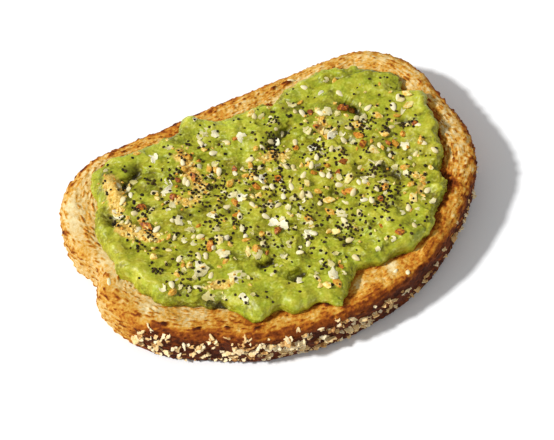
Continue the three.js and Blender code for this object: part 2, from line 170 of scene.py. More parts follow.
def turn_from(angle, at):
    return fraction((angle - at + 180) / 360) * 360 - 180


def bell(angle, at, width):
    return np.exp(-((turn_from(angle, at) / width) ** 2))


def bumps(bells, angle):
    return sum(reach * bell(angle, at, width) for at, reach, width in bells)


def full_outline(angle):
    across, along = np.abs(cosine(angle)) / HALF_WIDTH, np.abs(sine(angle)) / HALF_DEPTH
    power = lerp(DOME_SQUARENESS, BASE_SQUARENESS, smoothstep(sine(angle), -0.12, 0.3))
    return (across ** power + along ** power) ** (-1 / power) + bumps(CORNERS, angle)


def slice_outline(angle):
    return full_outline(angle) + bumps(WAISTS, angle)


def spread_outline(angle):
    reach = full_outline(angle) - SPREAD_MARGIN + bumps(LOBES, angle)
    return reach + RUFFLE_HEIGHT * lumps(reach * cosine(angle), reach * sine(angle), RUFFLE_SIZE, 3)


def angles_along(outline, share):
    """The angle at each share of the way along an outline, and the outline's length."""
    angle = np.linspace(-180, 180, 1441)
    reach = outline(angle)
    x, y = reach * cosine(angle), reach * sine(angle)
    gone = np.concatenate([[0], np.cumsum(np.hypot(np.diff(x), np.diff(y)))])
    return np.interp(share * gone[-1], gone, angle), gone[-1]


CRUST_LENGTH = angles_along(slice_outline, 0.0)[1]
spread_length = angles_along(spread_outline, 0.0)[1]
print(f"round the crust {CRUST_LENGTH:.0f} mm, round the spread {spread_length:.0f} mm")

# %% [markdown]
# ## The cut face
# Toasting dries the cut face most near its edge, which curls up into a crest and then rounds
# down to the crust. At the right-hand end the slice has curled further, and the spread sits
# in the hollow behind the crest.

# %% Height of the bread
RIM_INSET, RIM_SIDE_INSET = 3.4, 3.0  # from the outline to the crest, and more at the ends
RIM_DROP = 3.2
CREST, CURL, CURL_WIDTH, CREST_FALL = 0.5, 1.6, 45, 8
CRUMB_SWELL, CRUMB_SWELL_SIZE = 0.45, 14
CRUMB_LUMP, CRUMB_LUMP_SIZE = 0.3, 6


def rim_inset(angle):
    return RIM_INSET + RIM_SIDE_INSET * cosine(angle) ** 4


def crest(angle):
    return CREST + CURL * bell(angle, 0, CURL_WIDTH)


def bread_top(x, y):
    angle = np.degrees(np.arctan2(y, x))
    inset = slice_outline(angle) - np.hypot(x, y)
    rim = rim_inset(angle)
    uneven = CRUMB_SWELL * lumps(x, y, CRUMB_SWELL_SIZE, 1) + CRUMB_LUMP * lumps(x, y, CRUMB_LUMP_SIZE, 4)
    outward = np.clip(1 - inset / rim, 0, 1)
    fall = RIM_DROP * (1 - np.sqrt(1 - outward ** 2))
    rise = crest(angle) * (1 - smoothstep(inset, rim, rim + CREST_FALL))
    return THICKNESS + rise - fall + uneven * (1 - outward)


print(f"crest at the curled end {bread_top(np.array([64.0]), np.array([0.0]))[0]:.1f} mm up")

# %% [markdown]
# ## A skin of rows and columns
# The slice is one closed skin. It could be sculpted from a block, but a regular skin keeps
# its detail the same size all round and gives each pattern a direction to follow. A circle
# of edges is extruded row by row into a tube, and its two ends are drawn together to poles:
# one under the slice and one under the spread. A second step lays that tube on the slice:
# its rows become, in turn, the underside, the side crust, the rim and the cut face.

# %% The tube
BREAD_COLUMNS = 1000
ROWS = {"underside": 12, "foot": 5, "side": 26, "rim": 13, "face": 36, "middle": 3}
TOP_ROW = sum(ROWS.values())


def extrude_row(bm, edges, step):
    """The corners and edges of a new row, extruded from a row of edges and moved by a step."""
    made = bmesh.ops.extrude_edge_only(bm, edges=edges)["geom"]
    corners = [item for item in made if isinstance(item, bmesh.types.BMVert)]
    new = set(corners)
    edges = [item for item in made if isinstance(item, bmesh.types.BMEdge) and new.issuperset(item.verts)]
    bmesh.ops.translate(bm, verts=corners, vec=step)
    return corners, edges


def add_tube(columns, rows):
    bm = bmesh.new()
    ring = bmesh.ops.create_circle(bm, segments=columns, radius=1, cap_ends=False)["verts"]
    edges = list(bm.edges)
    rings = [ring]
    for _ in range(rows):
        ring, edges = extrude_row(bm, edges, (0, 0, 1))
        rings.append(ring)
    for end, height in ((rings[0], 0), (rings[-1], rows)):
        bmesh.ops.pointmerge(bm, verts=end, merge_co=(0, 0, height))
    return bm


bread_bm = add_tube(BREAD_COLUMNS, TOP_ROW)
print("bread skin:", len(bread_bm.verts), "corners,", len(bread_bm.faces), "faces")

# %% [markdown]
# ## Laying the skin on the slice
# Every corner of the tube knows its column, as an angle, and its row. Its reach and height
# follow from those two alone, so the whole skin is placed at once with numpy, which is a
# thousand times quicker than a loop over corners.

# %% The slice's own form
FOOT = 1.8  # radius between the underside and the side crust
BULGE = 0.3  # of the side crust, half way up
CRAG, CRAG_SIZE = 0.4, 5  # how uneven the side crust is
FACE_REACH = 11.5  # of closely spaced rows over the bare band and just under the spread
STARTS = dict(zip(ROWS, np.cumsum([0, *ROWS.values()])))


def along(stretch, row):
    return np.clip((row - STARTS[stretch]) / ROWS[stretch], 0, 1)


def corners_of(bm):
    return np.array([corner.co for corner in bm.verts])


def wall_top(angle):
    return THICKNESS + crest(angle) - RIM_DROP


def lay_skin(angle, row):
    outline, foot, side = slice_outline(angle), along("foot", row), along("side", row)
    reach = (outline - FOOT) * along("underside", row)
    reach += FOOT * sine(90 * foot) + BULGE * sine(180 * side)
    reach -= rim_inset(angle) * (1 - cosine(90 * along("rim", row)))
    reach -= FACE_REACH * along("face", row)
    reach *= 1 - along("middle", row)
    height = FOOT * (1 - cosine(90 * foot)) + (wall_top(angle) - FOOT) * side
    x, y = reach * cosine(angle), reach * sine(angle)
    crag = CRAG * lumps(x + height, y - height, CRAG_SIZE, 2) * foot * (1 - along("rim", row))
    x, y = x + crag * cosine(angle), y + crag * sine(angle)
    height = np.where(row > STARTS["rim"], bread_top(x, y), height)
    return np.stack([x, y, height], axis=1)


tube = corners_of(bread_bm)
bread_row = np.round(tube[:, 2])
bread_share = fraction(np.degrees(np.arctan2(tube[:, 1], tube[:, 0])) / 360)
bread_angle = angles_along(slice_outline, bread_share)[0]
bread_points = lay_skin(bread_angle, bread_row)
print("slice", np.round(np.ptp(bread_points, axis=0), 1), "mm")

# %% [markdown]
# ## Ways along the skin
# A pattern on bread runs along its crust. So each corner gets a place on the skin: how far
# it lies round the crust, and how far across, up the wall and then in over the face. The
# slice isn't the same all round either. Its crumb is open at the left end, close on the side
# of the loaf's base, and torn into short cracks at the curled end.

# %% Ways along the skin, and its regions
FACE_FROM = 15  # where the face starts on the way across, a little under the height of the wall
OPEN_AT, OPEN_WIDTH = 172, 40  # the end of the slice where the crumb is most open
CURLED_AT, CURLED_WIDTH = -6, 34
BASE_SIDE, FRONT = (0.2, 0.6), (0.2, 0.7)  # sine of the angle where each region starts and is full

crust_way = bread_share * CRUST_LENGTH
inset = slice_outline(bread_angle) - np.hypot(bread_points[:, 0], bread_points[:, 1])
on_top = along("rim", bread_row)
on_side = along("foot", bread_row) * (1 - on_top)
skin_way = np.where(on_top > 0, FACE_FROM + inset, bread_points[:, 2])
base_side = smoothstep(sine(bread_angle), *BASE_SIDE)
front = smoothstep(-sine(bread_angle), *FRONT)
open_crumb = bell(bread_angle, OPEN_AT, OPEN_WIDTH)
torn = bell(bread_angle, CURLED_AT, CURLED_WIDTH) * (on_top > 0)
print(f"share of the skin that is open {np.mean(open_crumb > 0.5):.2f}, torn {np.mean(torn > 0.5):.2f}")

# %% [markdown]
# ## Pores, slits and cracks
# The crumb of a tin loaf has oval gas pores, drawn out along the crust where the dough was
# pressed against the tin. A noise texture gives round blobs instead, so the pores are
# scattered one by one: the skin is divided into cells, each cell may hold one pore at a
# place, size and slant hashed from its number, and each corner takes the deepest pore that
# it lies in. The cells divide the length of the crust evenly, so that they meet at the seam.
#
# There are four kinds: slits, most of them at the open end, pinholes all over, cracks where
# the crumb is torn, and a few large hollows, which keep clear of the thin edge.

# %% Pores
CELL_LENGTH, LANE_WIDTH = 1.5, 1.6  # of a cell, in lengths and widths of its pore
CELLS_APART = 997  # a prime number, so that no two cells have the same draws
LEAST_PORE, PORE_SPREAD, PORE_SLANT = 0.45, 0.75, 0.5  # share of the full size, and what is added
# length, width, share of the cells that hold one, and where its draws start
SLITS, PINHOLES = (3.0, 0.55, 0.5, 31), (1.3, 0.6, 0.4, 41)
CRACKS, HOLLOWS = (2.2, 0.8, 0.45, 51), (2.6, 1.3, 0.16, 61)
# how deep they are away from the open end, and pinholes on the side and the wall of the loaf's base
FAR_SLITS, FAR_PINHOLES, BASE_PINHOLES, WALL_PINHOLES = 0.45, 0.7, 1.3, 0.35
CLEAR_OF_EDGE = (2, 4)  # mm from the outline where hollows begin and are full


def pores(length, width, chance, salt):
    """How deep each corner lies in a pore, where 1 is the middle of a full-sized one."""
    count = round(CRUST_LENGTH / (CELL_LENGTH * length))
    pitch, lane = CRUST_LENGTH / count, LANE_WIDTH * width
    i, j = np.floor(crust_way / pitch), np.floor(skin_way / lane)
    deepest = np.zeros(len(crust_way))
    for column in (-1, 0, 1):
        for level in (-1, 0, 1):
            cell = np.mod(i + column, count) + CELLS_APART * (j + level)
            along_pore = crust_way - (i + column + draw(cell, salt)) * pitch
            slant = PORE_SLANT * (draw(cell, salt + 1) - 0.5)
            across_pore = skin_way - (j + level + draw(cell, salt + 2)) * lane + slant * along_pore
            size = LEAST_PORE + PORE_SPREAD * draw(cell, salt + 3)
            away = np.hypot(along_pore / length, across_pore / width) * 2 / size
            depth = size * np.sqrt(np.clip(1 - away ** 2, 0, 1)) * (draw(cell, salt + 4) < chance)
            deepest = np.maximum(deepest, depth)
    return deepest


slits = pores(*SLITS) * lerp(FAR_SLITS, 1, open_crumb)
pinholes = pores(*PINHOLES) * lerp(1, WALL_PINHOLES, on_side * base_side)
pinholes *= np.maximum(lerp(FAR_PINHOLES, 1, open_crumb), BASE_PINHOLES * base_side)
cracks = pores(*CRACKS) * torn
hollows = pores(*HOLLOWS) * smoothstep(inset, *CLEAR_OF_EDGE) * (on_top > 0) * (1 - torn)
print(f"share of the skin in a slit {np.mean(slits > 0):.2f}, in a pinhole {np.mean(pinholes > 0):.2f}")

# %% [markdown]
# ## How brown the crust is
# One number tells how far each spot has toasted, from pale crumb over gold and chestnut to
# the almost black crust of the dome, and one colour ramp turns it into colour. That is also
# how bread works: the same browning goes further where it is drier and closer to the heat.
# The same number also carries painted shade: the pores, and a thin line along the spread's
# edge, are made darker in it.
#
# The side crust comes first. It is darkest low on the loaf's dome and lighter towards the
# rim, brown on the loaf's base, and pale at the left end, where the crust is thin.

# %% Browning of the side crust
DOME_FROM, DOME_TO, DOME_FADE = -162, -6, 7  # the stretch of crust that was the loaf's dome
DOME_BROWN, DOME_RIM_BROWN, RIM_RISE = 0.89, 0.68, (12, 17)  # low down, at the rim, and the heights between
BASE_BROWN, FLANK_BROWN = 0.56, 0.26
FLANK_AT, FLANK_SPAN, FLANK_FADE = 168, 26, 8  # the pale left end


def dome_share(angle):
    turned = turn_from(angle, (DOME_FROM + DOME_TO) / 2)
    half = (DOME_TO - DOME_FROM) / 2
    return 1 - smoothstep(np.abs(turned), half - DOME_FADE, half + DOME_FADE)


def side_brown(angle, height):
    dome = lerp(DOME_BROWN, DOME_RIM_BROWN, smoothstep(height, *RIM_RISE))
    turned = np.abs(turn_from(angle, FLANK_AT))
    flank = 1 - smoothstep(turned, FLANK_SPAN - FLANK_FADE, FLANK_SPAN + FLANK_FADE)
    return lerp(lerp(BASE_BROWN, FLANK_BROWN, flank), dome, dome_share(angle))


print(f"the dome is {np.mean(dome_share(bread_angle)):.2f} of the crust's length")

# %% [markdown]
# ## Patches and streaks
# Some spots of the face toasted more or less than a rule gives. Those are listed as soft
# strokes along short lines, and the knife's marks in the spread are drawn in the same way
# further on. Three of the strokes, in the hollow behind the curled crest, are painted shadow:
# there the spread's edge shades the bread. Streaks follow the crust, because their noise is
# read on a thinner column: what is round there comes out long on the slice. Where the slice
# curled, the crumb has been pulled into fibres, so its streaks are stronger.

# %% Patches and streaks
PATCHES_AND_SHADOW = [  # from, to, half width, change of the browning
    ((-49, -24), (-36, -35), 3.0, -0.05), ((-59, -16), (-57, -18), 2.2, -0.16),
    ((-67, -3), (-65, -16), 4.5, 0.14), ((-69, 13), (-68, 15), 2.6, 0.16), ((-60, 29), (-65, 19), 2.4, 0.12),
    # painted shadow: the strokes from (61, 8) to (54, -17), from (58, 24) to (61, 8) and from (54, -17) to
    # (44, -30) darken the hollow that the spread's edge shades
    ((-70, 2), (-60, 38), 5.0, 0.03), ((-22, -42), (10, -44), 4.0, 0.05), ((61, 8), (54, -17), 3.2, 0.3),
    ((58, 24), (61, 8), 2.4, 0.16), ((54, -17), (44, -30), 2.8, 0.24), ((-40, -36), (-26, -41), 5.0, 0.08),
    ((-30, -44), (8, -44), 4.0, -0.03), ((12, -43), (40, -35), 4.0, 0.05), ((55, 24), (64, -6), 4.0, -0.06),
    ((-44, 41), (-18, 45), 4.5, 0.09), ((-18, 45), (22, 45), 4.0, 0.04),
]
FIBROUS_AT, FIBROUS_WIDTH, BASE_FIBROUS = 0, 45, 0.5  # the curled end, and less on the base side
STREAK_STRETCH, STREAK_WIDTH = 4, 0.8
CRUMBLE_SIZE, BLOTCH_SIZE, MOTTLE_SIZE = 1.5, 3.6, 9
ELSEWHERE = 30  # a shift, so that two noises don't fall together


def distance_to_line(x, y, start, end):
    run = np.subtract(end, start)
    share = np.clip(((x - start[0]) * run[0] + (y - start[1]) * run[1]) / run.dot(run), 0, 1)
    return np.hypot(x - start[0] - share * run[0], y - start[1] - share * run[1])


def strokes(x, y, lines):
    return sum(rise * np.exp(-((distance_to_line(x, y, a, b) / width) ** 2)) for a, b, width, rise in lines)


def skin_vector(stretch):
    """The skin on a thinner column, so that a pattern on it is drawn out along the crust."""
    around = CRUST_LENGTH / (2 * math.pi * stretch)
    turned = 360 * bread_share
    return np.stack([around * cosine(turned), around * sine(turned), skin_way], axis=1)


streaks = perlin(skin_vector(STREAK_STRETCH), STREAK_WIDTH, 3)
crumbly = perlin(bread_points, CRUMBLE_SIZE, 3)
mottle = perlin(bread_points, MOTTLE_SIZE, 3)
blotches = perlin(bread_points + ELSEWHERE, BLOTCH_SIZE, 3)
fibrous = np.maximum(bell(bread_angle, FIBROUS_AT, FIBROUS_WIDTH), BASE_FIBROUS * base_side)
patches_and_shadow = strokes(bread_points[:, 0], bread_points[:, 1], PATCHES_AND_SHADOW)
print(f"streaks {np.ptp(streaks):.2f}, patches from {patches_and_shadow.min():.2f} to {patches_and_shadow.max():.2f}")

# %% [markdown]
# ## The edge of the face
# The edge toasts most, so it is scorched in a line that is narrow on most of the rim and
# wide where the dark crust of the dome reaches over it. Spots of the far edge are charred.
# Against the spread the crumb has drawn in some of its moisture, and the spread's edge shades
# it, so a thin dark line is painted there, partly moisture and partly painted shade. It is
# widest at the front.

# %% Browning at the edge of the face
LEAST_TURN, MOST_TURN, TURN_SPAN = 0.06, 0.7, (-36, -84)  # how far over the rim the dark crust reaches
SCORCH_FROM, SCORCH_UNEVEN, SCORCH_WIDTHS = 0.4, 0.8, (1.0, 3.6)  # the wide one over the dome
CHARRED_INSET, CHARRED_WIDTH, CHARRED_FROM = 0.6, 1.3, (75, 95)  # mm, mm and degrees round
CHARRED_STRETCH, CHARRED_SIZE, CHARRED_SPOTS, CHARRED_DEPTH = 2.5, 1.4, (-0.05, 0.25), 3
MOIST_SHADE_AT, MOIST_SHADE_WIDTH, MOIST_SHADE_ROUND = -50, 1.1, (-0.3, 0.4)  # and the cosines over which it sets in

reaching = smoothstep(-bread_angle, -TURN_SPAN[0], -TURN_SPAN[1]) * dome_share(bread_angle)
crust_turn = lerp(LEAST_TURN, MOST_TURN, reaching)
from_edge = np.clip(inset - SCORCH_FROM + SCORCH_UNEVEN * mottle, 0, None)
scorch = np.exp(-from_edge / lerp(*SCORCH_WIDTHS, crust_turn))
spots = smoothstep(perlin(skin_vector(CHARRED_STRETCH), CHARRED_SIZE, 2), *CHARRED_SPOTS)
charred = base_side * spots * np.exp(-(((inset - CHARRED_INSET) / CHARRED_WIDTH) ** 2))
charred *= smoothstep(bread_points[:, 2] - wall_top(bread_angle), -CHARRED_DEPTH, 0)
charred *= smoothstep(bread_angle, *CHARRED_FROM)
to_spread = inset - slice_outline(bread_angle) + spread_outline(bread_angle)
# painted shade, partly moisture: a thin dark line along the spread's edge, widest at the front
moist_shade = np.exp(-((to_spread / MOIST_SHADE_WIDTH) ** 2)) * smoothstep(cosine(bread_angle - MOIST_SHADE_AT), *MOIST_SHADE_ROUND)
print(f"scorched {np.mean(scorch > 0.5):.2f}, charred {np.mean(charred > 0.5):.3f} of the skin")

# %% [markdown]
# ## Browning of the whole slice
# The face is golden, and paler at the left end. Side and face blend into each other over the
# rim, along an uneven line. The underside was toasted too, and its edge most. Pores are
# darker than the crumb round them, because little light comes out of them again.

# %% Browning of the whole slice
FACE_BROWN = 0.31
PALE_AT, PALE_WIDTH, PALENESS = 165, 26, 0.16
GOLDEN_AT, GOLDEN_WIDTH = 40, 38  # the far end of the rim, which stayed evenly golden
# how much a pattern changes the browning; the second of a pair holds where it is golden or fibrous
MOTTLE, SCORCH, STREAK, FIBRES = (0.16, 0.06), (0.3, 0.1), (0.07, 0.22), -0.03
BLOTCH, CRUMBLE, SIDE_MOTTLE, SIDE_STREAK = 0.14, 0.16, 0.06, 0.16
TURN_STREAK, TURN_MOTTLE, TURN_BLEND = 0.2, 0.1, (-0.15, 0.3)  # the line between side and face
UNDER_BROWN, UNDER_MOTTLE, UNDER_EDGE, UNDER_EDGE_WIDTH = FACE_BROWN + 0.1, 0.2, 0.25, 5
IN_SLIT, IN_PINHOLE, IN_CRACK, IN_HOLLOW, WHERE_CHARRED, WHERE_MOIST_SHADE = 0.42, 0.24, 0.34, 0.5, 0.4, 0.2

golden = np.maximum(open_crumb, bell(bread_angle, GOLDEN_AT, GOLDEN_WIDTH))
face = FACE_BROWN - PALENESS * bell(bread_angle, PALE_AT, PALE_WIDTH) + patches_and_shadow
face += lerp(*MOTTLE, golden) * mottle + lerp(*SCORCH, golden) * scorch + BLOTCH * front * blotches
face += lerp(*STREAK, fibrous) * streaks + FIBRES * fibrous + CRUMBLE * torn * crumbly
side = side_brown(bread_angle, bread_points[:, 2]) + SIDE_MOTTLE * mottle + SIDE_STREAK * streaks
turn = crust_turn + TURN_STREAK * streaks + TURN_MOTTLE * mottle
browning_and_shade = lerp(side, face, smoothstep(on_top, turn + TURN_BLEND[0], turn + TURN_BLEND[1]))
underside = UNDER_BROWN + UNDER_MOTTLE * mottle + UNDER_EDGE * np.exp(-inset / UNDER_EDGE_WIDTH)
browning_and_shade = np.where(bread_row < STARTS["foot"], underside, browning_and_shade)
# painted shade: pores are made darker, as little light comes out of them
browning_and_shade += IN_SLIT * slits + IN_PINHOLE * pinholes + IN_CRACK * cracks + IN_HOLLOW * hollows
# painted shade, partly moisture: the dark line along the spread's edge
browning_and_shade = np.clip(browning_and_shade + WHERE_CHARRED * charred + WHERE_MOIST_SHADE * moist_shade, 0, 1)
print(f"browning from {browning_and_shade.min():.2f} to {browning_and_shade.max():.2f}, mean {browning_and_shade.mean():.2f}")

# %% [markdown]
# ## Relief of the bread
# Pores, streaks and crags are pushed in along the surface's own direction. Bump in a
# material would be cheaper, but it leaves the outline smooth and is not in the exported
# mesh, so bump is kept for what is finer than the mesh. Nothing is pushed close to the
# floor, so that the slice stays flat on it, nor in the middle, under the spread.

# %% Pushing the relief in
SLIT_DEPTH, PINHOLE_DEPTH, CRACK_DEPTH, HOLLOW_DEPTH = 0.6, 0.35, 0.7, 0.9
STREAK_HEIGHTS, CRUST_HEIGHTS = (0.08, 0.2), (0.2, 0.4)  # the second where fibrous, or on the loaf's base
CRUST_LUMP_SIZE, GRAIN_WIDTH, GRAIN_HEIGHT, TORN_HEIGHT = 3.2, 1.3, 0.28, 0.45
OFF_THE_FLOOR = (0.3, 1.5)  # heights over which the relief sets in


def mesh_object(name, bm, points):
    for corner, point in zip(bm.verts, points * MM):
        corner.co = point
    bmesh.ops.recalc_face_normals(bm, faces=bm.faces)
    mesh = bpy.data.meshes.new(name)
    bm.to_mesh(mesh)
    bm.free()
    mesh.shade_smooth()
    piece = bpy.data.objects.new(name, mesh)
    bpy.context.scene.collection.objects.link(piece)
    return piece


def push(piece, heights):
    mesh = piece.data
    points = np.zeros(3 * len(mesh.vertices))
    mesh.vertices.foreach_get("co", points)
    directions = np.array([normal.vector for normal in mesh.vertex_normals])
    points = points.reshape(-1, 3) + directions * heights[:, None] * MM
    mesh.vertices.foreach_set("co", points.ravel())
    mesh.update()
    return points / MM


bread = mesh_object("toasted_bread", bread_bm, bread_points)
grain = perlin(bread_points, GRAIN_WIDTH, 2)
crust_lumps = perlin(bread_points, CRUST_LUMP_SIZE, 3)
relief = lerp(*STREAK_HEIGHTS, fibrous) * streaks + GRAIN_HEIGHT * grain + TORN_HEIGHT * torn * crumbly
relief += lerp(*CRUST_HEIGHTS, base_side) * crust_lumps * on_side
relief -= SLIT_DEPTH * slits + PINHOLE_DEPTH * pinholes + CRACK_DEPTH * cracks + HOLLOW_DEPTH * hollows
above_floor = smoothstep(bread_points[:, 2], *OFF_THE_FLOOR)
under_spread = along("middle", bread_row)
bread_points = push(bread, relief * above_floor * (1 - under_spread))
print(f"dressed slice {np.round(np.ptp(bread_points, axis=0), 1)} mm, from {bread_points[:, 2].min():.2f} up")

# %% [markdown]
# ## Marks for the material
# A material can't tell the dome of the loaf from its base. So what was worked out for each
# corner is kept in the mesh as attributes, which the shader then reads: the browning with the
# painted shade in it, the way along the skin, the fibres, and the two bands of the face, at the
# front and on the side of the loaf's base, that toasted to a lighter gold.

# %% Marks on the skin
FIBRE_STRETCH = 6  # how much longer than wide a fibre is
FRONT_BAND, BAND_FROM_RIM = (-0.8, 0), (0.2, 0.6)  # cosines round, and shares of the rim


def paint(piece, name, values):
    kind, key = ("FLOAT", "value") if values.ndim == 1 else ("FLOAT_VECTOR", "vector")
    mark = piece.data.attributes.new(name, kind, "POINT")
    mark.data.foreach_set(key, values.ravel())


front_band = front * smoothstep(cosine(bread_angle), *FRONT_BAND)
gilt = np.maximum(front_band, base_side) * smoothstep(on_top, *BAND_FROM_RIM)
paint(bread, "browning_and_shade", browning_and_shade)
paint(bread, "skin_way", skin_vector(FIBRE_STRETCH) * MM)
paint(bread, "fibrous", fibrous)
paint(bread, "gilt", gilt)
print(f"lighter bands on {np.mean(gilt > 0.5):.2f} of the skin")

# %% [markdown]
# ## Toasted bread as a material
# Toasted crumb is a dry foam of starch: matt, because its broken cell walls throw the light
# in every direction. The browning number, with the painted shade of the pores and of the
# spread's edge in it, runs through one ramp of seven colours. Fine noise breaks it up at the
# size of the cell walls, about a millimetre, and a bump of the same size roughens the light. A
# second noise, read on the drawn-out skin, splits the fibrous crumb into fibres with dark
# lines between them. The marked bands get a tenth more light.

# %% Bread material
CRUMB_GRAIN, FIBRE_WIDTH = 1.0, 0.5
GRAIN_CONTRAST, SPLIT_DARKNESS, GILDING = 0.58, 0.32, 0.1  # changes of the browning, and of the light
SPLIT_DEPTH = -0.8  # in the bump
TOAST_RAMP = [
    (0.0, "#ead9ac"), (0.2, "#d8be85"), (0.36, "#cd9a3c"), (0.52, "#b1691a"),
    (0.68, "#844011"), (0.84, "#5e280a"), (1.0, "#3a1607"),
]


def new_material(name, **values):
    """A material, its nodes and its shader, with the shader's plain values set."""
    material = bpy.data.materials.new(name)
    material.use_nodes = True
    skin = material.node_tree.nodes["Principled BSDF"]
    for socket, value in values.items():
        skin.inputs[socket.replace("_", " ")].default_value = value
    return material, material.node_tree, skin


def attribute(tree, name, output="Fac"):
    return add(tree, "Attribute", {}, attribute_name=name).outputs[output]


# dry, open crumb: rough all over, with hardly a gloss
material, tree, skin = new_material("toasted_wholegrain_crumb", Roughness=0.72, Specular_IOR_Level=0.1)
place = add(tree, "TexCoord", {}).outputs["Object"]
skin_place = attribute(tree, "skin_way", "Vector")
speckle = add(tree, "TexNoise", {
    "Vector": place, "Scale": per_mm(CRUMB_GRAIN), "Detail": 4.0, "Roughness": 0.65})
fibres = add(tree, "TexNoise", {
    "Vector": skin_place, "Scale": per_mm(FIBRE_WIDTH), "Detail": 3.0, "Roughness": 0.6})
splits = add(tree, "MapRange", {"Value": fibres.outputs["Fac"], "From Min": 0.57, "From Max": 0.67})
centred = add(tree, "Math", {0: speckle.outputs["Fac"], 1: -0.5}, operation="ADD")
brown = add(tree, "Math", {
    0: centred.outputs[0], 1: GRAIN_CONTRAST, 2: attribute(tree, "browning_and_shade")}, operation="MULTIPLY_ADD")
drawn = add(tree, "Math", {0: splits.outputs["Result"], 1: attribute(tree, "fibrous")}, operation="MULTIPLY")
darker = add(tree, "Math", {
    0: drawn.outputs[0], 1: SPLIT_DARKNESS, 2: brown.outputs[0]}, operation="MULTIPLY_ADD")
ramp = add(tree, "ValToRGB", {"Fac": darker.outputs[0]}, stops=TOAST_RAMP)
rough = add(tree, "Math", {
    0: drawn.outputs[0], 1: SPLIT_DEPTH, 2: speckle.outputs["Fac"]}, operation="MULTIPLY_ADD")
bump = add(tree, "Bump", {"Height": rough.outputs[0], "Strength": 0.7, "Distance": 0.25 * MM})
lighter = add(tree, "Math", {0: attribute(tree, "gilt"), 1: GILDING, 2: 1.0}, operation="MULTIPLY_ADD")
crumb = add(tree, "HueSaturation", {"Value": lighter.outputs[0], "Color": ramp.outputs["Color"]})
tree.links.new(crumb.outputs["Color"], skin.inputs["Base Color"])
tree.links.new(bump.outputs["Normal"], skin.inputs["Normal"])
bread.data.materials.append(material)
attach(bread, "root")
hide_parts("bread_slice")
print("ramp of", len(TOAST_RAMP), "colours, grain", CRUMB_GRAIN, "mm")

# %% [markdown]
# ## The form of the spread
# Mashed avocado holds the last shape that the knife gave it. Its thickness is a sum: an even
# layer, a slow swell, lumps, and then single strokes, each a ridge or a furrow along a line.
# A thickness over the bread can't fold over itself, so the rounded edge is added apart: the
# outermost rows turn over and under like the rim of a cushion.

# %% Thickness of the spread
SPREAD_THICKNESS, LEAST_THICKNESS, LIP = 5.2, 2, 0.3  # the lip is a share, at the very edge
SWELL, SWELL_SIZE = 0.8, 14
LUMP, LUMP_SIZE = 1.2, 6
EDGE_WIDTH, STEEP_EDGE_WIDTH, STEEP_END, STEEP_SPAN = 4.6, 2.6, -15, 50  # of the rounded edge

# from, to, half width, rise
RIDGES = [
    ((-60, 30), (-62, 4), 3.2, 1.0), ((-47, 34), (-37, 37), 3.0, 1.3), ((-51, 34), (-50, 25), 2.4, 1.1),
    ((-24, 38), (-15, 42), 3.0, 0.9), ((1, 22), (15, 30), 3.0, 1.6), ((20, 35), (28, 41), 2.6, 0.9),
    ((34, 31), (52, 33), 2.6, 1.0), ((30, 25), (34, 18), 3.5, 1.2), ((50, 14), (58, 4), 5.0, 1.1),
    ((-57, -4), (-50, -16), 4.5, 1.0), ((-28, -30), (-24, -34), 5.5, 1.3),
    ((-14, -38), (1, -38), 4.0, 0.9), ((14, -33), (34, -31), 4.0, 0.9),
]
HOLES = [
    ((-47, 27.5), (-40, 32), 2.2, -3.0), ((-56.3, 23), (-56, 15), 1.6, -1.4),
    ((4, 20.3), (12, 23.8), 1.6, -1.6), ((36, 25), (39.5, 18), 1.6, -2.8),
    ((51, 9.5), (52, 8), 2.0, -2.4), ((37, -4), (39, -9), 2.0, -1.8),
    ((-18, -20), (-14.5, -20.3), 1.8, -3.0), ((-10, -29), (-7, -28.5), 1.7, -2.4),
    ((-39, -24), (-36, -27), 2.0, -1.8),
]


def spread_thickness(x, y):
    height = SPREAD_THICKNESS + SWELL * lumps(x, y, SWELL_SIZE, 5)
    height = height + LUMP * (0.5 - np.abs(lumps(x, y, LUMP_SIZE, 6)))
    return np.maximum(height + strokes(x, y, RIDGES) + strokes(x, y, HOLES), LEAST_THICKNESS)


def edge_width(angle):
    return lerp(EDGE_WIDTH, STEEP_EDGE_WIDTH, bell(angle, STEEP_END, STEEP_SPAN))


print(f"spread in the middle {spread_thickness(np.zeros(1), np.zeros(1))[0]:.1f} mm thick")

# %% [markdown]
# ## A disc from a square grid
# The top of the spread needs small, even faces all over. Rows of a tube would crowd together
# at the pole, so a square grid is rounded into a disc instead: each square ring of the grid
# becomes a round one, and a ring further out has more corners. The grid's border is then
# extruded inwards underneath and drawn together to one pole, which closes the solid.

# %% The grid, turned into a disc
RINGS = 140
EDGE_RINGS, EDGE_START = 18, -25  # of them round the edge, from this many degrees under it
UNDER_ROWS, UNDER_INSET, UNDER_DROP = 2, 1.5, 0.4  # underneath, how far in they lie and how far down each
FINE_RUFFLES = [(0.9, 3.8, 11), (0.45, 1.8, 12)]  # height, size, salt


def add_disc(rings, under_rows):
    bm = bmesh.new()
    bmesh.ops.create_grid(bm, x_segments=2 * rings, y_segments=2 * rings, size=1)
    edges = [edge for edge in bm.edges if edge.is_boundary]
    for _ in range(under_rows):
        corners, edges = extrude_row(bm, edges, (0, 0, -1))
    bmesh.ops.pointmerge(bm, verts=corners, merge_co=(0, 0, -under_rows))
    return bm


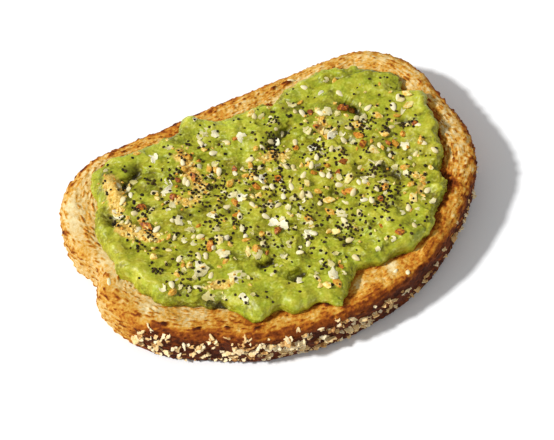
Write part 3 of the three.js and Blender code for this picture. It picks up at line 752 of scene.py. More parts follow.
def lay_spread(u, v, level):
    share = np.maximum(np.abs(u), np.abs(v))
    wide = np.abs(u) >= np.abs(v)
    beside = 45 * v / np.where(wide & (share > 0), u, 1)
    ahead = 90 - 45 * u / np.where(wide, 1, v)
    turned = np.where(wide, beside, ahead) + 180 * (np.where(wide, u, v) < 0)
    angle = angles_along(spread_outline, fraction(turned / 360))[0]
    outline = spread_outline(angle)
    for height, size, salt in FINE_RUFFLES:
        outline = outline + height * lumps(outline * cosine(angle), outline * sine(angle), size, salt)
    inward = (1 - share) * RINGS
    tilt = lerp(EDGE_START, 90, np.clip(inward / EDGE_RINGS, 0, 1))
    reach = outline - edge_width(angle) * (1 - cosine(tilt))
    reach = reach * np.clip((RINGS - inward) / (RINGS - EDGE_RINGS), 0, 1)
    reach = reach - (level < 0) * UNDER_INSET
    reach = np.where(level < 0.5 - UNDER_ROWS, 0, reach)
    x, y = reach * cosine(angle), reach * sine(angle)
    risen = spread_thickness(x, y) * lerp(LIP, 1, sine(tilt)) * (level > -0.5)
    return np.stack([x, y, bread_top(x, y) + risen + UNDER_DROP * level], axis=1)


spread_bm = add_disc(RINGS, UNDER_ROWS)
disc = corners_of(spread_bm)
spread_points = lay_spread(*disc.T)
print("spread", np.round(np.ptp(spread_points, axis=0), 1), "mm,", len(spread_bm.faces), "faces")

# %% [markdown]
# ## Mash, knife marks and creases
# Up close the mash is soft grains and lumps with creases between them, and smoother where
# the knife wiped it. The squared distance to the nearest of many scattered points gives
# rounded lumps with sharp valleys, which a plain noise does not. The knife's ridges are the
# smooth places, so the same lines that raise them also turn the lumps down.

# %% Relief of the mash
GRAINS = [(0.4, 5.5, 3), (0.18, 0.8, 2)]  # height, size, octaves
CHUNKS, CHUNK_MIDDLE = [(0.5, 4.2), (0.28, 1.8)], 0.3  # height, size
SMEARS = [(0.85, 6.5, 3.0, 0.08), (0.4, 2.6, 4.0, 0.12)]  # height, width, stretch, sharpness of its edge
STRIATION_HEIGHT, STRIATION_WIDTH, STRIATION_STRETCH = 0.16, 0.9, 9
KNIFE_WAY = -26  # degrees, the way the knife went
WARP, WARP_SIZE, WARP_SHIFTS = 1.6, 7, (0, 50, 90)  # bends the patterns, so that none runs straight
WIPED_WIDTH, WIPED_FLAT = 1.3, 0.75  # how far past a ridge the knife wiped, and how flat


def knife_smooth(points):
    x, y, _ = points.T
    wiped = sum(np.exp(-((distance_to_line(x, y, a, b) / (WIPED_WIDTH * width)) ** 2))
                for a, b, width, _ in RIDGES)
    return np.clip(wiped, 0, 1)


def drawn_out(points, width, times):
    """The points with the knife's way made shorter, so that a pattern is drawn out along it."""
    along_knife = points[:, 0] * cosine(KNIFE_WAY) + points[:, 1] * sine(KNIFE_WAY)
    across_knife = points[:, 1] * cosine(KNIFE_WAY) - points[:, 0] * sine(KNIFE_WAY)
    return np.stack([along_knife / times, across_knife, points[:, 2]], axis=1) / width


def nearest(points, size):
    """Distance to the nearest of many scattered middles, as a share of the size."""
    return np.array([noise.voronoi(point)[0][0] for point in (points / size).tolist()])


spread = mesh_object("mashed_avocado", spread_bm, spread_points)
warped = spread_points + WARP * np.stack(
    [perlin(spread_points + shift, WARP_SIZE, 1) for shift in WARP_SHIFTS], axis=1)
mash = sum(height * perlin(warped, size, octaves) for height, size, octaves in GRAINS)
for height, size in CHUNKS:
    mash = mash + height * (CHUNK_MIDDLE - nearest(warped, size) ** 2)
for height, width, times, edge in SMEARS:
    layer = perlin(drawn_out(warped, width, times), 1, 3)
    mash = mash + height * (smoothstep(layer, -edge, edge) - 0.5)
mash = mash + STRIATION_HEIGHT * perlin(drawn_out(spread_points, STRIATION_WIDTH, STRIATION_STRETCH), 1, 2)
print(f"grains {np.ptp(mash):.2f} mm high")

# %% [markdown]
# ## Creases, cakes of garlic and stains
# Where two pushes of the knife meet, the mash closes in a deep crease. Garlic that fell in a
# heap drinks from the mash, swells into a thick cake and tans the flesh round it, and fine
# spice dust lies over the whole band that the seasoning fell in. A few strokes draw each of
# them, and what the material needs of them is kept as attributes. The creases and the middles
# of the knife's holes are kept as painted shade, which the material darkens.

# %% Creases, cakes and stains
CREASES = [  # from, to, half width, rise
    ((41, 2), (40.5, -8), 1.2, -0.9), ((40.5, -8), (37, -15), 1.2, -0.8), ((10, -21), (13, -26), 1.2, -1.1),
    ((19, -33), (27, -32), 1.0, -0.9), ((-37, -27), (-35, -31), 1.3, -1.1), ((47, -3), (56, -9), 1.0, -0.6),
    ((46, 24), (56, 15), 1.0, -0.5), ((30, 36), (48, 34), 0.9, -0.5),
]
CAKES = [  # from, to, half width, rise
    ((-50.8, 31.5), (-51, 24), 2.2, 0.8), ((-54.5, 13), (-48, 6), 2.0, 0.6),
    ((-24.5, 27), (-24, 17.5), 1.9, 0.6), ((20, 19.5), (23, 21), 1.7, 0.7),
]
CAKE_LUMPS, CAKE_LUMP_SIZE, CAKE_STAIN = 0.8, 2.2, 0.8  # how lumpy, and how much they stain
STAINS = [  # from, to, half width
    ((-50, 31), (-53, 21), 3.6), ((-46, 5), (-55, 13), 3.4), ((-24, 16), (-25, 31), 3.2),
    ((-34, 15), (-28, 12), 2.6), ((0, 17), (8, 15), 2.6), ((24, 18), (26, 23), 2.2),
    ((46, -14), (43, -18), 1.8), ((-37, -20), (-30, -22), 2.4),
]
BAND_MIDDLE, BAND_LEAN, DUST_WIDTH = 2, -0.12, 20  # where the seasoning fell
# painted shade: this share of a hole's width is darkened in the material
SHADY_SHARE = 0.75  # of a hole's width looks dark


def across_band(x, y):
    return y - BAND_MIDDLE - BAND_LEAN * x


def stained(x, y):
    return strokes(x, y, [(*stain, 1) for stain in STAINS])


x, y, _ = spread_points.T
creased = strokes(x, y, CREASES)
caked = strokes(x, y, CAKES) * (1 + CAKE_LUMPS * perlin(spread_points, CAKE_LUMP_SIZE, 3))
topside = disc[:, 2] > -0.5
wiped_mash = mash * (1 - WIPED_FLAT * knife_smooth(spread_points))
spread_points = push(spread, (wiped_mash + creased + caked) * topside)
x, y, _ = spread_points.T
# painted shade: the creases and the middles of the holes, which the material darkens
shady = creased + strokes(x, y, [(a, b, SHADY_SHARE * width, rise) for a, b, width, rise in HOLES])
paint(spread, "relief", mash)
paint(spread, "stain", stained(x, y) + CAKE_STAIN * caked)
paint(spread, "dusted", np.exp(-((across_band(x, y) / DUST_WIDTH) ** 2)))
paint(spread, "hollow", shady)
print(f"dressed spread {np.round(np.ptp(spread_points, axis=0), 1)} mm")

# %% [markdown]
# ## Avocado flesh as a material
# Ripe avocado is yellow next to the stone and green under the skin, and mashing leaves it
# streaked, so two noises move it along one ramp, and a third changes its hue a little. The
# relief and the creases move it along the same ramp as painted light and shade: raised mash
# is painted paler, creases and holes are painted darker. Pale flecks are bits of firmer flesh.
# Under the spice it is yellower, and tan where garlic has stained it. It is fatty and wet: some
# light goes a millimetre into it, and its surface has a soft gloss. The one shader gives both,
# by a little subsurface scattering and by a moderate roughness under a thin coat.

# %% Avocado material
FLESH_RAMP = [(0.0, "#3c3204"), (0.25, "#75720a"), (0.5, "#a0a11a"), (0.75, "#bbba34"), (1.0, "#dbd97c")]
STREAK_SIZE, GRAIN_SIZE, FLECK_SIZE, STAIN_SIZE, HUE_SIZE = 7.0, 0.8, 1.6, 2.2, 3.0
# the relief weight is painted light on raised mash, the hollow weight painted shade in creases and holes
GRAININESS, RAISED_PAINTED_LIGHT, HOLLOW_PAINTED_SHADE = 0.66, 0.16, 0.2  # weights on the way along the ramp
HUE_SPREAD, GREENER, DUSTIER = 0.09, 0.006, 0.014  # a hue of 0.5 leaves the colour as it is
STAIN_RAMP, FLECK_COLOUR = [(0.35, "#c89b38"), (0.65, "#eecb70")], "#cdce70"

# wet, fatty flesh: a soft gloss under a thin film of oil, and a little light from within
material, tree, skin = new_material(
    "mashed_avocado_flesh", Roughness=0.47, Specular_IOR_Level=0.35, Subsurface_Weight=0.06,
    Subsurface_Radius=(1.0, 1.0, 0.3), Subsurface_Scale=1.0 * MM, Coat_Weight=0.07, Coat_Roughness=0.25)
place = add(tree, "TexCoord", {}).outputs["Object"]
streaky = add(tree, "TexNoise", {
    "Vector": place, "Scale": per_mm(STREAK_SIZE), "Detail": 5.0, "Distortion": 0.8})
grainy = add(tree, "TexNoise", {"Vector": place, "Scale": per_mm(GRAIN_SIZE), "Detail": 3.0})
mixed = add(tree, "Math", {
    0: grainy.outputs["Fac"], 1: GRAININESS, 2: -GRAININESS / 2}, operation="MULTIPLY_ADD")
mottled = add(tree, "Math", {0: streaky.outputs["Fac"], 1: mixed.outputs[0]}, operation="ADD")
# painted light and shade: raised mash is made paler, creases and holes darker
raised = add(tree, "Math", {
    0: attribute(tree, "relief"), 1: RAISED_PAINTED_LIGHT, 2: mottled.outputs[0]}, operation="MULTIPLY_ADD")
ripeness_and_shade = add(tree, "Math", {
    0: attribute(tree, "hollow"), 1: HOLLOW_PAINTED_SHADE, 2: raised.outputs[0]}, operation="MULTIPLY_ADD")
ramp = add(tree, "ValToRGB", {"Fac": ripeness_and_shade.outputs[0]}, stops=FLESH_RAMP)
hues = add(tree, "TexNoise", {"Vector": place, "Scale": per_mm(HUE_SIZE), "Detail": 3.0})
unlike = add(tree, "Math", {
    0: hues.outputs["Fac"], 1: HUE_SPREAD, 2: 0.5 + GREENER - HUE_SPREAD / 2}, operation="MULTIPLY_ADD")
hue = add(tree, "Math", {
    0: attribute(tree, "dusted"), 1: -DUSTIER, 2: unlike.outputs[0]}, operation="MULTIPLY_ADD")
flesh = add(tree, "HueSaturation", {"Hue": hue.outputs[0], "Color": ramp.outputs["Color"]})
flecks = add(tree, "TexNoise", {"Vector": place, "Scale": per_mm(FLECK_SIZE), "Detail": 1.0})
flecked = add(tree, "MapRange", {
    "Value": flecks.outputs["Fac"], "From Min": 0.6, "From Max": 0.75, "To Max": 0.5})
pulp = add(tree, "Mix", {
    0: flecked.outputs["Result"], 6: flesh.outputs["Color"], 7: colour(FLECK_COLOUR)}, data_type="RGBA")
smudged = add(tree, "TexNoise", {"Vector": place, "Scale": per_mm(STAIN_SIZE), "Detail": 3.0})
patchy = add(tree, "Math", {0: attribute(tree, "stain"), 1: smudged.outputs["Fac"]}, operation="MULTIPLY")
tanned = add(tree, "MapRange", {
    "Value": patchy.outputs[0], "From Min": 0.26, "From Max": 0.5, "To Max": 0.95})
tan = add(tree, "ValToRGB", {"Fac": grainy.outputs["Fac"]}, stops=STAIN_RAMP)
tinted = add(tree, "Mix", {
    0: tanned.outputs["Result"], 6: pulp.outputs[2], 7: tan.outputs["Color"]}, data_type="RGBA")
bump = add(tree, "Bump", {"Height": grainy.outputs["Fac"], "Strength": 0.55, "Distance": 0.2 * MM})
tree.links.new(tinted.outputs[2], skin.inputs["Base Color"])
tree.links.new(bump.outputs["Normal"], skin.inputs["Normal"])
spread.data.materials.append(material)
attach(spread, "root")
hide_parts("avocado_spread")
print("flesh ramp of", len(FLESH_RAMP), "colours")

# %% [markdown]
# ## Seeds, chips and flakes
# Seen from a step away a seed is a few faces, so each kind gets a handful of small shapes
# and hundreds of turned and scaled copies of them. A particle system or instances would do
# the same with less memory, but both are lost in an export. So the copies are worked out
# with numpy and joined into one mesh for each kind.
#
# The shapes start as a ball, a block or a grid. A sesame seed is a flat drop. A poppy seed
# is a small uneven ball. A chip of toasted garlic is a block with its edges cut and its
# corners knocked about. A flake of dried onion or of oat is a curled sheet given thickness.

# %% Shapes of the small things
VARIANTS = 8  # of each kind
CHIP_STRETCH, CHIP_CORNERS, CHIP_SHEAR, CHIP_KNOCK = (0.85, 0.4), (0.72, 0.5), 0.9, 0.12
FLAKE_STRETCH, FLAKE_KNOCK = (0.75, 0.6), 0.08  # a pair is the least and what is added


def finished(bm, knock, seed):
    """The corners and faces of a shape, with each corner knocked a little off its place."""
    bm.verts.ensure_lookup_table()
    bmesh.ops.recalc_face_normals(bm, faces=bm.faces)
    corners = corners_of(bm)
    numbers = np.arange(len(corners))
    hits = np.stack([2 * draw(numbers, seed + axis / 7) - 1 for axis in range(3)], axis=1)
    faces = [[corner.index for corner in face.verts] for face in bm.faces]
    bm.free()
    return corners + knock * hits, faces


def seed_shape(length, width, thickness, point, knock, seed):
    bm = bmesh.new()
    bmesh.ops.create_uvsphere(bm, u_segments=8, v_segments=6, radius=0.5)
    bmesh.ops.rotate(bm, verts=bm.verts, matrix=Euler((0, math.radians(90), 0)).to_matrix())
    for corner in bm.verts:
        corner.co.yz *= 1 - point * (corner.co.x + 0.5)
    bmesh.ops.scale(bm, verts=bm.verts, vec=(length, width, thickness))
    return finished(bm, knock, seed)


def chip_shape(length, width, thickness, seed):
    bm = bmesh.new()
    stretch = CHIP_STRETCH[0] + CHIP_STRETCH[1] * draw(seed, 5)
    if seed % 3:
        bmesh.ops.create_icosphere(bm, subdivisions=1, radius=0.6)
    else:
        bmesh.ops.create_cube(bm, size=0.95)
        bmesh.ops.bevel(
            bm, geom=bm.edges[:], offset=0.2, segments=1, profile=0.5, affect="EDGES", material=-1)
    for number, corner in enumerate(bm.verts):
        corner.co *= CHIP_CORNERS[0] + CHIP_CORNERS[1] * draw(number, seed)
        corner.co.x += CHIP_SHEAR * corner.co.y * (draw(seed, 7) - 0.5)
    bmesh.ops.scale(bm, verts=bm.verts, vec=(length * stretch, width / stretch, thickness))
    return finished(bm, CHIP_KNOCK * thickness, seed)


def flake_shape(length, width, thickness, curl, ragged, seed):
    bm = bmesh.new()
    bmesh.ops.create_grid(bm, x_segments=4, y_segments=4, size=0.5)
    stretch = FLAKE_STRETCH[0] + FLAKE_STRETCH[1] * draw(seed, 5)
    for corner in bm.verts:
        x, y, _ = corner.co
        square = max(abs(x), abs(y), 1e-6)
        spoke = math.hypot(x, y)
        rim = 1 + ragged * (draw(corner.index, seed) - 0.5)
        corner.co.xy *= square / max(spoke, 1e-6) * (rim if square > 0.45 else 1)
        corner.co.z = curl * (corner.co.x ** 2 - 0.6 * corner.co.y ** 2 + 0.5 * corner.co.x * corner.co.y)
    bmesh.ops.scale(bm, verts=bm.verts, vec=(length * stretch, width / stretch, length))
    bmesh.ops.recalc_face_normals(bm, faces=bm.faces)
    bmesh.ops.solidify(bm, geom=bm.faces[:], thickness=thickness)
    return finished(bm, FLAKE_KNOCK * thickness, seed)


# length, width and thickness in mm, and then how pointed or curled it is, and how ragged
SHAPES = {
    "onion": [flake_shape(4.8, 3.6, 0.5, 0.5 * (-1) ** seed, 0.5, seed) for seed in range(VARIANTS)],
    "garlic": [chip_shape(3.0, 2.6, 1.5, seed) for seed in range(VARIANTS)],
    "sesame": [seed_shape(3.0, 2.35, 1.15, 0.45, 0.05, seed) for seed in range(VARIANTS)],
    "poppy": [seed_shape(1.12, 0.96, 0.86, 0.15, 0.06, seed) for seed in range(VARIANTS)],
    "oat": [flake_shape(4.6, 2.9, 0.5, 0.45 * (-1) ** seed, 0.6, seed + 20) for seed in range(VARIANTS)],
}
for kind, shapes in SHAPES.items():
    print(kind, "has", len(shapes[0][1]), "faces")

# %% [markdown]
# ## Strewing
# Fingers drop a seasoning in pinches, so it lies in a loose band with thicker heaps. Two
# evenly stepping fractions propose places all over the toast, and a draw keeps each one with
# the chance that the band and the heaps give there. The biggest fall first, and each later
# kind is dropped by a ray on everything that already lies there, so the small seeds settle
# on top of the flakes and between them. Poppy seed also lies in many small clumps between
# the heaps, and fine crumbs of garlic lie along the stains that they made.

# %% Where the topping lies
EVEN_ACROSS, EVEN_UP = 0.7548776662, 0.569840291  # steps that fill a square evenly
BAND_WIDTH, WIDE_BAND, END_FADE = 26, 36, 14  # half widths, and the fade towards both ends
TOPPING_EDGE, CLOSE_EDGE, CRUMB_EDGE = 3.5, 2.0, 1.5  # kept free along the edge of the spread
PROPOSALS = 400000

# heaps: x, y, radius
HEAPS = {
    "onion": [
        (37, -26, 4), (-13, 33, 3), (-34, 18, 4), (-2, -5, 5), (-34, -27, 4), (-5, -31, 4),
        (30, 12, 4), (-45, -14, 4),
    ],
    "garlic": [
        (-24, 24, 5), (-6, 9, 6), (25, 21, 5), (37, 10, 4), (50, 10, 3), (12, -5, 4),
        (-27, -13, 4), (47, -11, 3), (5, -32, 3), (-43, -10, 3),
    ],
    "sesame": [
        (-4, -30, 4), (-28, -5, 5), (0, 8, 6), (35, 15, 5), (-12, 30, 4), (25, -8, 6), (37, -24, 3),
        (-34, 16, 3), (-2, -5, 4), (-34, -25, 3),
    ],
    "poppy": [
        (30, -17, 3.5), (35, -14, 2), (51.5, 8.5, 2.2), (-21, 15, 3.5), (-24, 4, 3), (-17, 10, 2),
        (0, 6, 3), (-6, 1, 2), (20, 12, 3), (26, 8, 2), (38, 14, 3), (44, 10, 2), (33, -3, 2.2),
        (15, -21, 3), (20, -17, 2), (-44, -17, 2.2), (-50, -8, 2.2), (-52, 4, 2.2), (-55, 17, 2.2),
        (-5, 13, 3), (5, 20, 2.6), (-33, -6, 2), (-12, -12, 2.2), (5, -10, 2.2), (-30, 24, 2.2),
        (10, 28, 2.2),
    ],
}


def strewing(x, y, heaps, scattered, band_width):
    ends = smoothstep(HALF_WIDTH - SPREAD_MARGIN - np.abs(x), 0, END_FADE)
    heaped = sum(np.exp(-(((x - at_x) ** 2 + (y - at_y) ** 2) / radius ** 2)) for at_x, at_y, radius in heaps)
    return ends * scattered * np.exp(-((across_band(x, y) / band_width) ** 2)) + heaped


proposal = np.arange(1, PROPOSALS)
proposed_x = HALF_WIDTH * (2 * fraction(proposal * EVEN_ACROSS) - 1)
proposed_y = HALF_DEPTH * (2 * fraction(proposal * EVEN_UP) - 1)
proposed_angle = np.degrees(np.arctan2(proposed_y, proposed_x))
proposed_inset = spread_outline(proposed_angle) - np.hypot(proposed_x, proposed_y)


def strew(count, spacing, chance, edge, taken, start):
    """Proposals that are kept, as their numbers, from the start on."""
    kept = []
    likely = draw(proposal, 1) <= chance
    for index in np.flatnonzero(likely & (proposed_inset > edge) & (proposal > start)):
        spot = (proposed_x[index], proposed_y[index])
        if all((spot[0] - x) ** 2 + (spot[1] - y) ** 2 > spacing ** 2 for x, y in taken):
            kept.append(int(proposal[index]))
            taken.append(spot)
            if len(kept) == count:
                break
    return kept


print(f"{np.mean(proposed_inset > TOPPING_EDGE):.2f} of the proposals lie on the spread")

# %% The kinds, from the biggest to the smallest
WHOLE = [("onion", 20, 4.5), ("garlic", 30, 3.4), ("sesame", 54, 3.0)]  # kind, count, spacing
SCATTERED = 0.5  # the chance in the middle of the band, apart from the heaps
SMALLER = [  # kind, count, spacing, scale, chance in the middle of the band
    ("onion", 36, 1.6, 0.8, 0.3), ("onion", 80, 1.2, 0.5, 0.3), ("garlic", 28, 1.6, 1.0, 0.25),
    ("garlic", 46, 1.0, 0.7, 0.25), ("sesame", 66, 1.4, 1.0, 0.3), ("garlic", 90, 0.8, 0.42, 0.4),
]
CLUMPS, CLUMP_SPACING, CLUMP_RADII = 40, 4.0, (0.8, 1.9)
POPPY_SEEDS, POPPY_SPACING, POPPY_SCALES = 1000, 0.35, (0.75, 1.15)
POPPY_CHANCE, POPPY_SCATTERED = 0.85, 0.12
GARLIC_CRUMBS, CRUMB_SPACING, CRUMBS_APART = [(0.6, 50), (0.35, 110)], 0.5, 1000  # scale, count

largest, chosen, last = [], {}, 0
for kind, count, spacing in WHOLE:
    chance = strewing(proposed_x, proposed_y, HEAPS[kind], SCATTERED, BAND_WIDTH)
    chosen[kind] = [(number, 1.0) for number in strew(count, spacing, chance, TOPPING_EDGE, largest, last)]
    last = chosen[kind][-1][0]
for kind, count, spacing, scale, scattered in SMALLER:
    chance = strewing(proposed_x, proposed_y, HEAPS[kind], scattered, WIDE_BAND)
    chosen[kind] += [(number, scale) for number in strew(count, spacing, chance, CLOSE_EDGE, [], last)]
    last = chosen[kind][-1][0]
chance = strewing(proposed_x, proposed_y, [], SCATTERED, WIDE_BAND)
clumps = [
    (proposed_x[number - 1], proposed_y[number - 1], lerp(*CLUMP_RADII, draw(number, 13)))
    for number in strew(CLUMPS, CLUMP_SPACING, chance, CLOSE_EDGE, [], last)]
chance = strewing(proposed_x, proposed_y, HEAPS["poppy"] + clumps, POPPY_SCATTERED, WIDE_BAND)
chosen["poppy"] = [
    (number, lerp(*POPPY_SCALES, draw(number, 12)))
    for number in strew(POPPY_SEEDS, POPPY_SPACING, POPPY_CHANCE * chance, CLOSE_EDGE, [], last)]
chance = stained(proposed_x, proposed_y)
for scale, count in GARLIC_CRUMBS:
    crumbs = strew(count, CRUMB_SPACING, chance, CRUMB_EDGE, [], CRUMBS_APART * count)
    chosen["garlic"] += [(number, scale) for number in crumbs]
print({kind: len(kept) for kind, kept in chosen.items()}, "of", last, "proposals")

# %% [markdown]
# ## Dropping and joining
# A ray finds the surface under a place and the way it faces. The copy is turned at random
# about that direction, leans a little, and is pressed in by a share of its thickness. The
# crumbs of a kind are paler than its whole pieces. A few sesame seeds missed the spread and
# lie on the bare rim.

# %% Dropping a kind on what lies there
SIZES = {"onion": 0.5, "garlic": 1.5, "sesame": 1.05, "poppy": 0.85, "oat": 0.5}  # thickness of each kind
TILTS = {"onion": 0.5, "garlic": 0.6, "sesame": 0.4, "poppy": 0.5, "oat": 0.6}
LEAST_SIZE, SIZE_SPREAD = 0.82, 0.36  # of its scale, and what is added
SUNK, SUNK_MORE = 0.25, 0.5  # share of the thickness that is pressed in, at least and on top of that
ABOVE = 60  # where the rays start
LEVEL = Vector((0, 0, 0.6))  # turns what lies on a slope towards the level
CRUMB_SCALE, CRUMB_TONE, STRAY_TONE = 0.65, 0.55, 0.7  # below this scale a thing is a crumb
STRAYS = [(-179, 4.5), (-61, 5.0), (-58, 2.6), (61, 3.6)]  # angle, and inset from the crust


def probe_of(solids):
    corners, faces, start = [], [], 0
    for points, sides in solids:
        corners += points.tolist()
        faces += [[start + corner for corner in side] for side in sides]
        start += len(points)
    return BVHTree.FromPolygons(corners, faces)


def set_down(kind, number, scale, hit, normal, steady):
    facing = (normal + steady).normalized()
    facing.x += TILTS[kind] * (draw(number, 8) - 0.5)
    facing.y += TILTS[kind] * (draw(number, 9) - 0.5)
    size = scale * (LEAST_SIZE + SIZE_SPREAD * draw(number, 2))
    spin = Quaternion((0, 0, 1), 2 * math.pi * draw(number, 3))
    turned = np.array((facing.to_track_quat("Z", "Y") @ spin).to_matrix())
    corners, faces = SHAPES[kind][number % VARIANTS]
    sunk = SUNK + SUNK_MORE * draw(number, 10) ** 2
    middle = np.array(hit) + np.array(normal) * SIZES[kind] * size * (0.5 - sunk)
    return corners @ turned.T * size + middle, faces


def fall(probe, kind, number, scale, x, y):
    hit, normal, _, _ = probe.ray_cast(Vector((x, y, ABOVE)), Vector((0, 0, -1)))
    return set_down(kind, number, scale, hit, normal, LEVEL)


def join(name, things, tones):
    sizes = [len(points) for points, _ in things]
    starts = np.cumsum([0, *sizes])
    faces = [[int(start) + corner for corner in side]
             for (_, sides), start in zip(things, starts) for side in sides]
    mesh = bpy.data.meshes.new(name)
    mesh.from_pydata((np.concatenate([points for points, _ in things]) * MM).tolist(), [], faces)
    piece = bpy.data.objects.new(name, mesh)
    bpy.context.scene.collection.objects.link(piece)
    paint(piece, "tone", np.repeat(tones, sizes))
    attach(piece, "root")
    return piece


def sides_of(piece):
    return [list(face.vertices) for face in piece.data.polygons]


ground = [(spread_points, sides_of(spread))]
crust_probe = probe_of([(bread_points, sides_of(bread))])


def drop(kind):
    probe = probe_of(ground)
    things = [fall(probe, kind, number, scale, proposed_x[number - 1], proposed_y[number - 1])
              for number, scale in chosen[kind]]
    ground.extend(things)
    numbers, scales = np.array(chosen[kind]).T
    return things, draw(numbers, 6) * np.where(scales < CRUMB_SCALE, CRUMB_TONE, 1)


onion = join("dried_onion", *drop("onion"))
garlic = join("toasted_garlic", *drop("garlic"))
seeds, seed_tones = drop("sesame")
for number, (around, inwards) in enumerate(STRAYS, start=1):
    reach = slice_outline(np.array([around]))[0] - inwards
    seeds.append(fall(crust_probe, "sesame", number, 1.0, reach * cosine(around), reach * sine(around)))
sesame = join("sesame_seeds", seeds, np.append(seed_tones, np.full(len(STRAYS), STRAY_TONE)))
poppy = join("poppy_seeds", *drop("poppy"))
sesame.data.shade_smooth()
poppy.data.shade_smooth()
print("faces:", {piece.name: len(piece.data.polygons) for piece in (onion, garlic, sesame, poppy)})

# %% [markdown]
# ## Oats on the crust
# The dome of the loaf was rolled in oats before it was baked. The flakes are shaved thin and
# curl as they toast. They are pressed on from outside, by rays that come in a little from
# above towards a spot just inside the crust, and each flake leans upwards a little, most at
# the right-hand end. Whole flakes lie between many broken ones, which are fewer and smaller
# at the right-hand end, and small close to the floor.

# %% Oat flakes
OATS, SMALL_OATS = 60, 440
OAT_ANGLES, OAT_HEIGHTS, SMALL_OAT_HEIGHTS, LOW_DOWN = (-163, -9), (3, 12.5), (1.5, 16.5), 1.3
OAT_SCALES, SMALL_OAT_SCALES = (0.7, 0.95), (0.25, 0.7)
FEW, FEW_UP_TO = 0.14, (60, 112)  # share that is kept at the right-hand end, and where it ends
LOW_SCALE, LOW_UP_TO = 0.6, (2, 7)  # smaller close to the floor
END_SCALES, END_UP_TO = (0.75, 1.1), (60, 110)  # and at the right-hand end
OAT_LEANS, LEAN_UP_TO = (2.0, 0.9), (60, 125)  # at the right-hand end, and further round to the left
PRESSED_FROM, BEYOND, UNDER_CRUST = 25, 90, 1  # degrees above level, where the rays start and where they aim
OUTWARDS = 1.5  # how strongly a flake faces straight out
OFF_FLOOR = 0.15  # height of its lowest corner, at least

flakes = []
for number in range(OATS + SMALL_OATS):
    around = lerp(*OAT_ANGLES, draw(number, 21))
    if number < OATS:
        height = lerp(*OAT_HEIGHTS, draw(number, 22))
    else:
        height = lerp(*SMALL_OAT_HEIGHTS, draw(number, 22) ** LOW_DOWN)
        if draw(number, 25) > lerp(FEW, 1, smoothstep(-around, *FEW_UP_TO)):
            continue
    outward = Vector((cosine(around), sine(around), 0))
    slope = outward * cosine(PRESSED_FROM) + Vector((0, 0, sine(PRESSED_FROM)))
    aim = outward * (slice_outline(np.array([around]))[0] - UNDER_CRUST) + Vector((0, 0, height))
    hit, normal, _, _ = crust_probe.ray_cast(aim + slope * BEYOND, -slope)
    scale = lerp(*(OAT_SCALES if number < OATS else SMALL_OAT_SCALES), draw(number, 5))
    scale *= lerp(LOW_SCALE, 1, smoothstep(height, *LOW_UP_TO))
    scale *= lerp(*END_SCALES, smoothstep(-around, *END_UP_TO))
    leaning_up = Vector((0, 0, lerp(*OAT_LEANS, smoothstep(-around, *LEAN_UP_TO))))
    points, faces = set_down("oat", number, scale, hit, normal, OUTWARDS * outward + leaning_up)
    points[:, 2] += max(0, OFF_FLOOR - points[:, 2].min())
    flakes.append((points, faces))
oats = join("rolled_oats", flakes, draw(np.arange(len(flakes)), 6))
print(len(flakes), "oat flakes,", len(oats.data.polygons), "faces")

# %% [markdown]
# ## Finishes of the small things
# Each kind has its own ramp, and a tone that is drawn for each copy picks from it, so that
# no two neighbours are quite alike. Dried onion is thin and papery, so light passes into it.
# Toasted garlic runs from straw to brown. Hulled sesame is waxy and cream, with a soft
# gloss. The coat of poppy seed is brown-black and matt. An oat flake is dry and pale, with
# toasted edges.

# %% Materials of the small things
# ramp, roughness, size of the speckles, their weight, share of the light that scatters inside
SMALL_FINISHES = {
    "dried_onion_flake": ([(0.0, "#c9bc74"), (0.5, "#e6dcb0"), (1.0, "#f6efd2")], 0.45, 1.2, 0.8, 0.15),
    "toasted_garlic_chip": ([
        (0.0, "#eadb92"), (0.3, "#deb348"), (0.65, "#cb8820"), (0.88, "#ad5e19"), (1.0, "#7d3d14")],
        0.55, 0.9, 1.6, 0.1),
    "hulled_sesame": ([(0.0, "#d9c88a"), (1.0, "#f0e5bf")], 0.4, 1.5, 0.8, 0.15),
    "poppy_seed_coat": ([(0.0, "#150d02"), (1.0, "#44310f")], 0.8, 0.4, 0.8, 0.0),
    "toasted_oat_flake": ([
        (0.0, "#f8e7bf"), (0.5, "#efd39b"), (0.85, "#d6a965"), (1.0, "#9c6832")],
        0.7, 0.7, 0.8, 0.1),
}


def small_finish(name):
    stops, roughness, speckle_size, speckle_weight, scatter = SMALL_FINISHES[name]
    material, tree, skin = new_material(
        name, Roughness=roughness, Specular_IOR_Level=0.3, Subsurface_Weight=scatter,
        Subsurface_Radius=(1.0, 0.8, 0.5), Subsurface_Scale=0.6 * MM)
    place = add(tree, "TexCoord", {}).outputs["Object"]
    speckle = add(tree, "TexNoise", {"Vector": place, "Scale": per_mm(speckle_size), "Detail": 2.0})
    centred = add(tree, "Math", {0: speckle.outputs["Fac"], 1: -0.5}, operation="ADD")
    tone = add(tree, "Math", {
        0: centred.outputs[0], 1: speckle_weight, 2: attribute(tree, "tone")}, operation="MULTIPLY_ADD")
    ramp = add(tree, "ValToRGB", {"Fac": tone.outputs[0]}, stops=stops)
    bump = add(tree, "Bump", {"Height": speckle.outputs["Fac"], "Strength": 0.25, "Distance": 0.1 * MM})
    tree.links.new(ramp.outputs["Color"], skin.inputs["Base Color"])
    tree.links.new(bump.outputs["Normal"], skin.inputs["Normal"])
    return material


for piece, slot, name in (
        (onion, "dried_onion", "dried_onion_flake"), (garlic, "toasted_garlic", "toasted_garlic_chip"),
        (sesame, "sesame_seed", "hulled_sesame"), (poppy, "poppy_seed", "poppy_seed_coat"),
        (oats, "rolled_oats", "toasted_oat_flake")):
    piece.data.materials.append(small_finish(name))
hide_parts("bread_slice")
for piece in (onion, garlic, sesame, poppy):
    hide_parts("avocado_spread")
print("finished", list(SMALL_FINISHES))

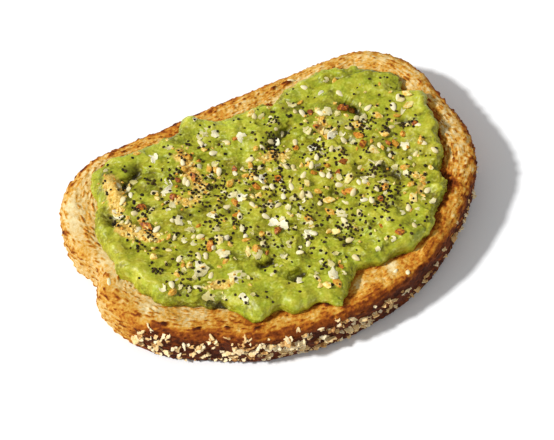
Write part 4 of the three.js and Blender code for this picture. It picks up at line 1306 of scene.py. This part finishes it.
# %% [markdown]
# ## Floor, light and camera
# A plain white floor, one soft sun from the left and an even sky, as in a product studio. A
# shadow as long as the slice is high means a sun at 45 degrees, and its width sets how soft
# the shadow's edge is. A long lens from 0.9 m keeps the slice nearly flat.

# %% Floor, light and camera
VIEW_AZIMUTH, VIEW_ELEVATION, VIEW_DISTANCE = -26.1, 60, 900
AIM = Vector((0, 0, 8))
SLIDE_RIGHT, SLIDE_UP = -2.34, -0.48
LENS, SIGHT = 169.6, 20  # the lens in mm, and how far the camera sees in metres
SUN_HEADING, SUN_HEIGHT, SUN_WIDTH = -11, 45, 6  # degrees from +x, above the floor, and across the sun
SUN_STRENGTH, SKY_STRENGTH = 3.3, 0.45
FLOOR_SIZE, WHITE, PAPER = 3, (1, 1, 1, 1), (0.965, 0.975, 0.98, 1)

floor_bm = bmesh.new()
bmesh.ops.create_grid(floor_bm, x_segments=1, y_segments=1, size=FLOOR_SIZE)
floor_mesh = bpy.data.meshes.new("floor")
floor_bm.to_mesh(floor_mesh)
floor_bm.free()
floor = bpy.data.objects.new("floor", floor_mesh)
bpy.context.scene.collection.objects.link(floor)
# a paper sweep: matt, and very slightly blue
floor.data.materials.append(new_material("white_paper_sweep", Base_Color=PAPER, Roughness=0.9)[0])

sun_data = bpy.data.lights.new("sun", "SUN")
sun_data.energy = SUN_STRENGTH
sun_data.angle = math.radians(SUN_WIDTH)
sun = bpy.data.objects.new("sun", sun_data)
along_floor = cosine(SUN_HEIGHT)
ray = Vector((cosine(SUN_HEADING) * along_floor, sine(SUN_HEADING) * along_floor, -sine(SUN_HEIGHT)))
sun.rotation_euler = ray.to_track_quat("-Z", "Y").to_euler()
bpy.context.scene.collection.objects.link(sun)

world = bpy.data.worlds.new("sky")
world.use_nodes = True
world.node_tree.nodes["Background"].inputs["Color"].default_value = WHITE
world.node_tree.nodes["Background"].inputs["Strength"].default_value = SKY_STRENGTH
bpy.context.scene.world = world
bpy.context.scene.view_settings.view_transform = "Standard"

azimuth, elevation = math.radians(VIEW_AZIMUTH), math.radians(VIEW_ELEVATION)
right = Vector((math.cos(azimuth), math.sin(azimuth), 0))
level = math.cos(elevation)
ahead = Vector((-math.sin(azimuth) * level, math.cos(azimuth) * level, -math.sin(elevation)))
camera = bpy.data.objects.new("camera", bpy.data.cameras.new("camera"))
camera.data.lens = LENS
camera.data.clip_end = SIGHT
camera.location = (AIM - ahead * VIEW_DISTANCE + right * SLIDE_RIGHT + right.cross(ahead) * SLIDE_UP) * MM
camera.rotation_euler = ahead.to_track_quat("-Z", "Y").to_euler()
bpy.context.scene.collection.objects.link(camera)
bpy.context.scene.camera = camera
print("camera at", [round(c, 3) for c in camera.location])
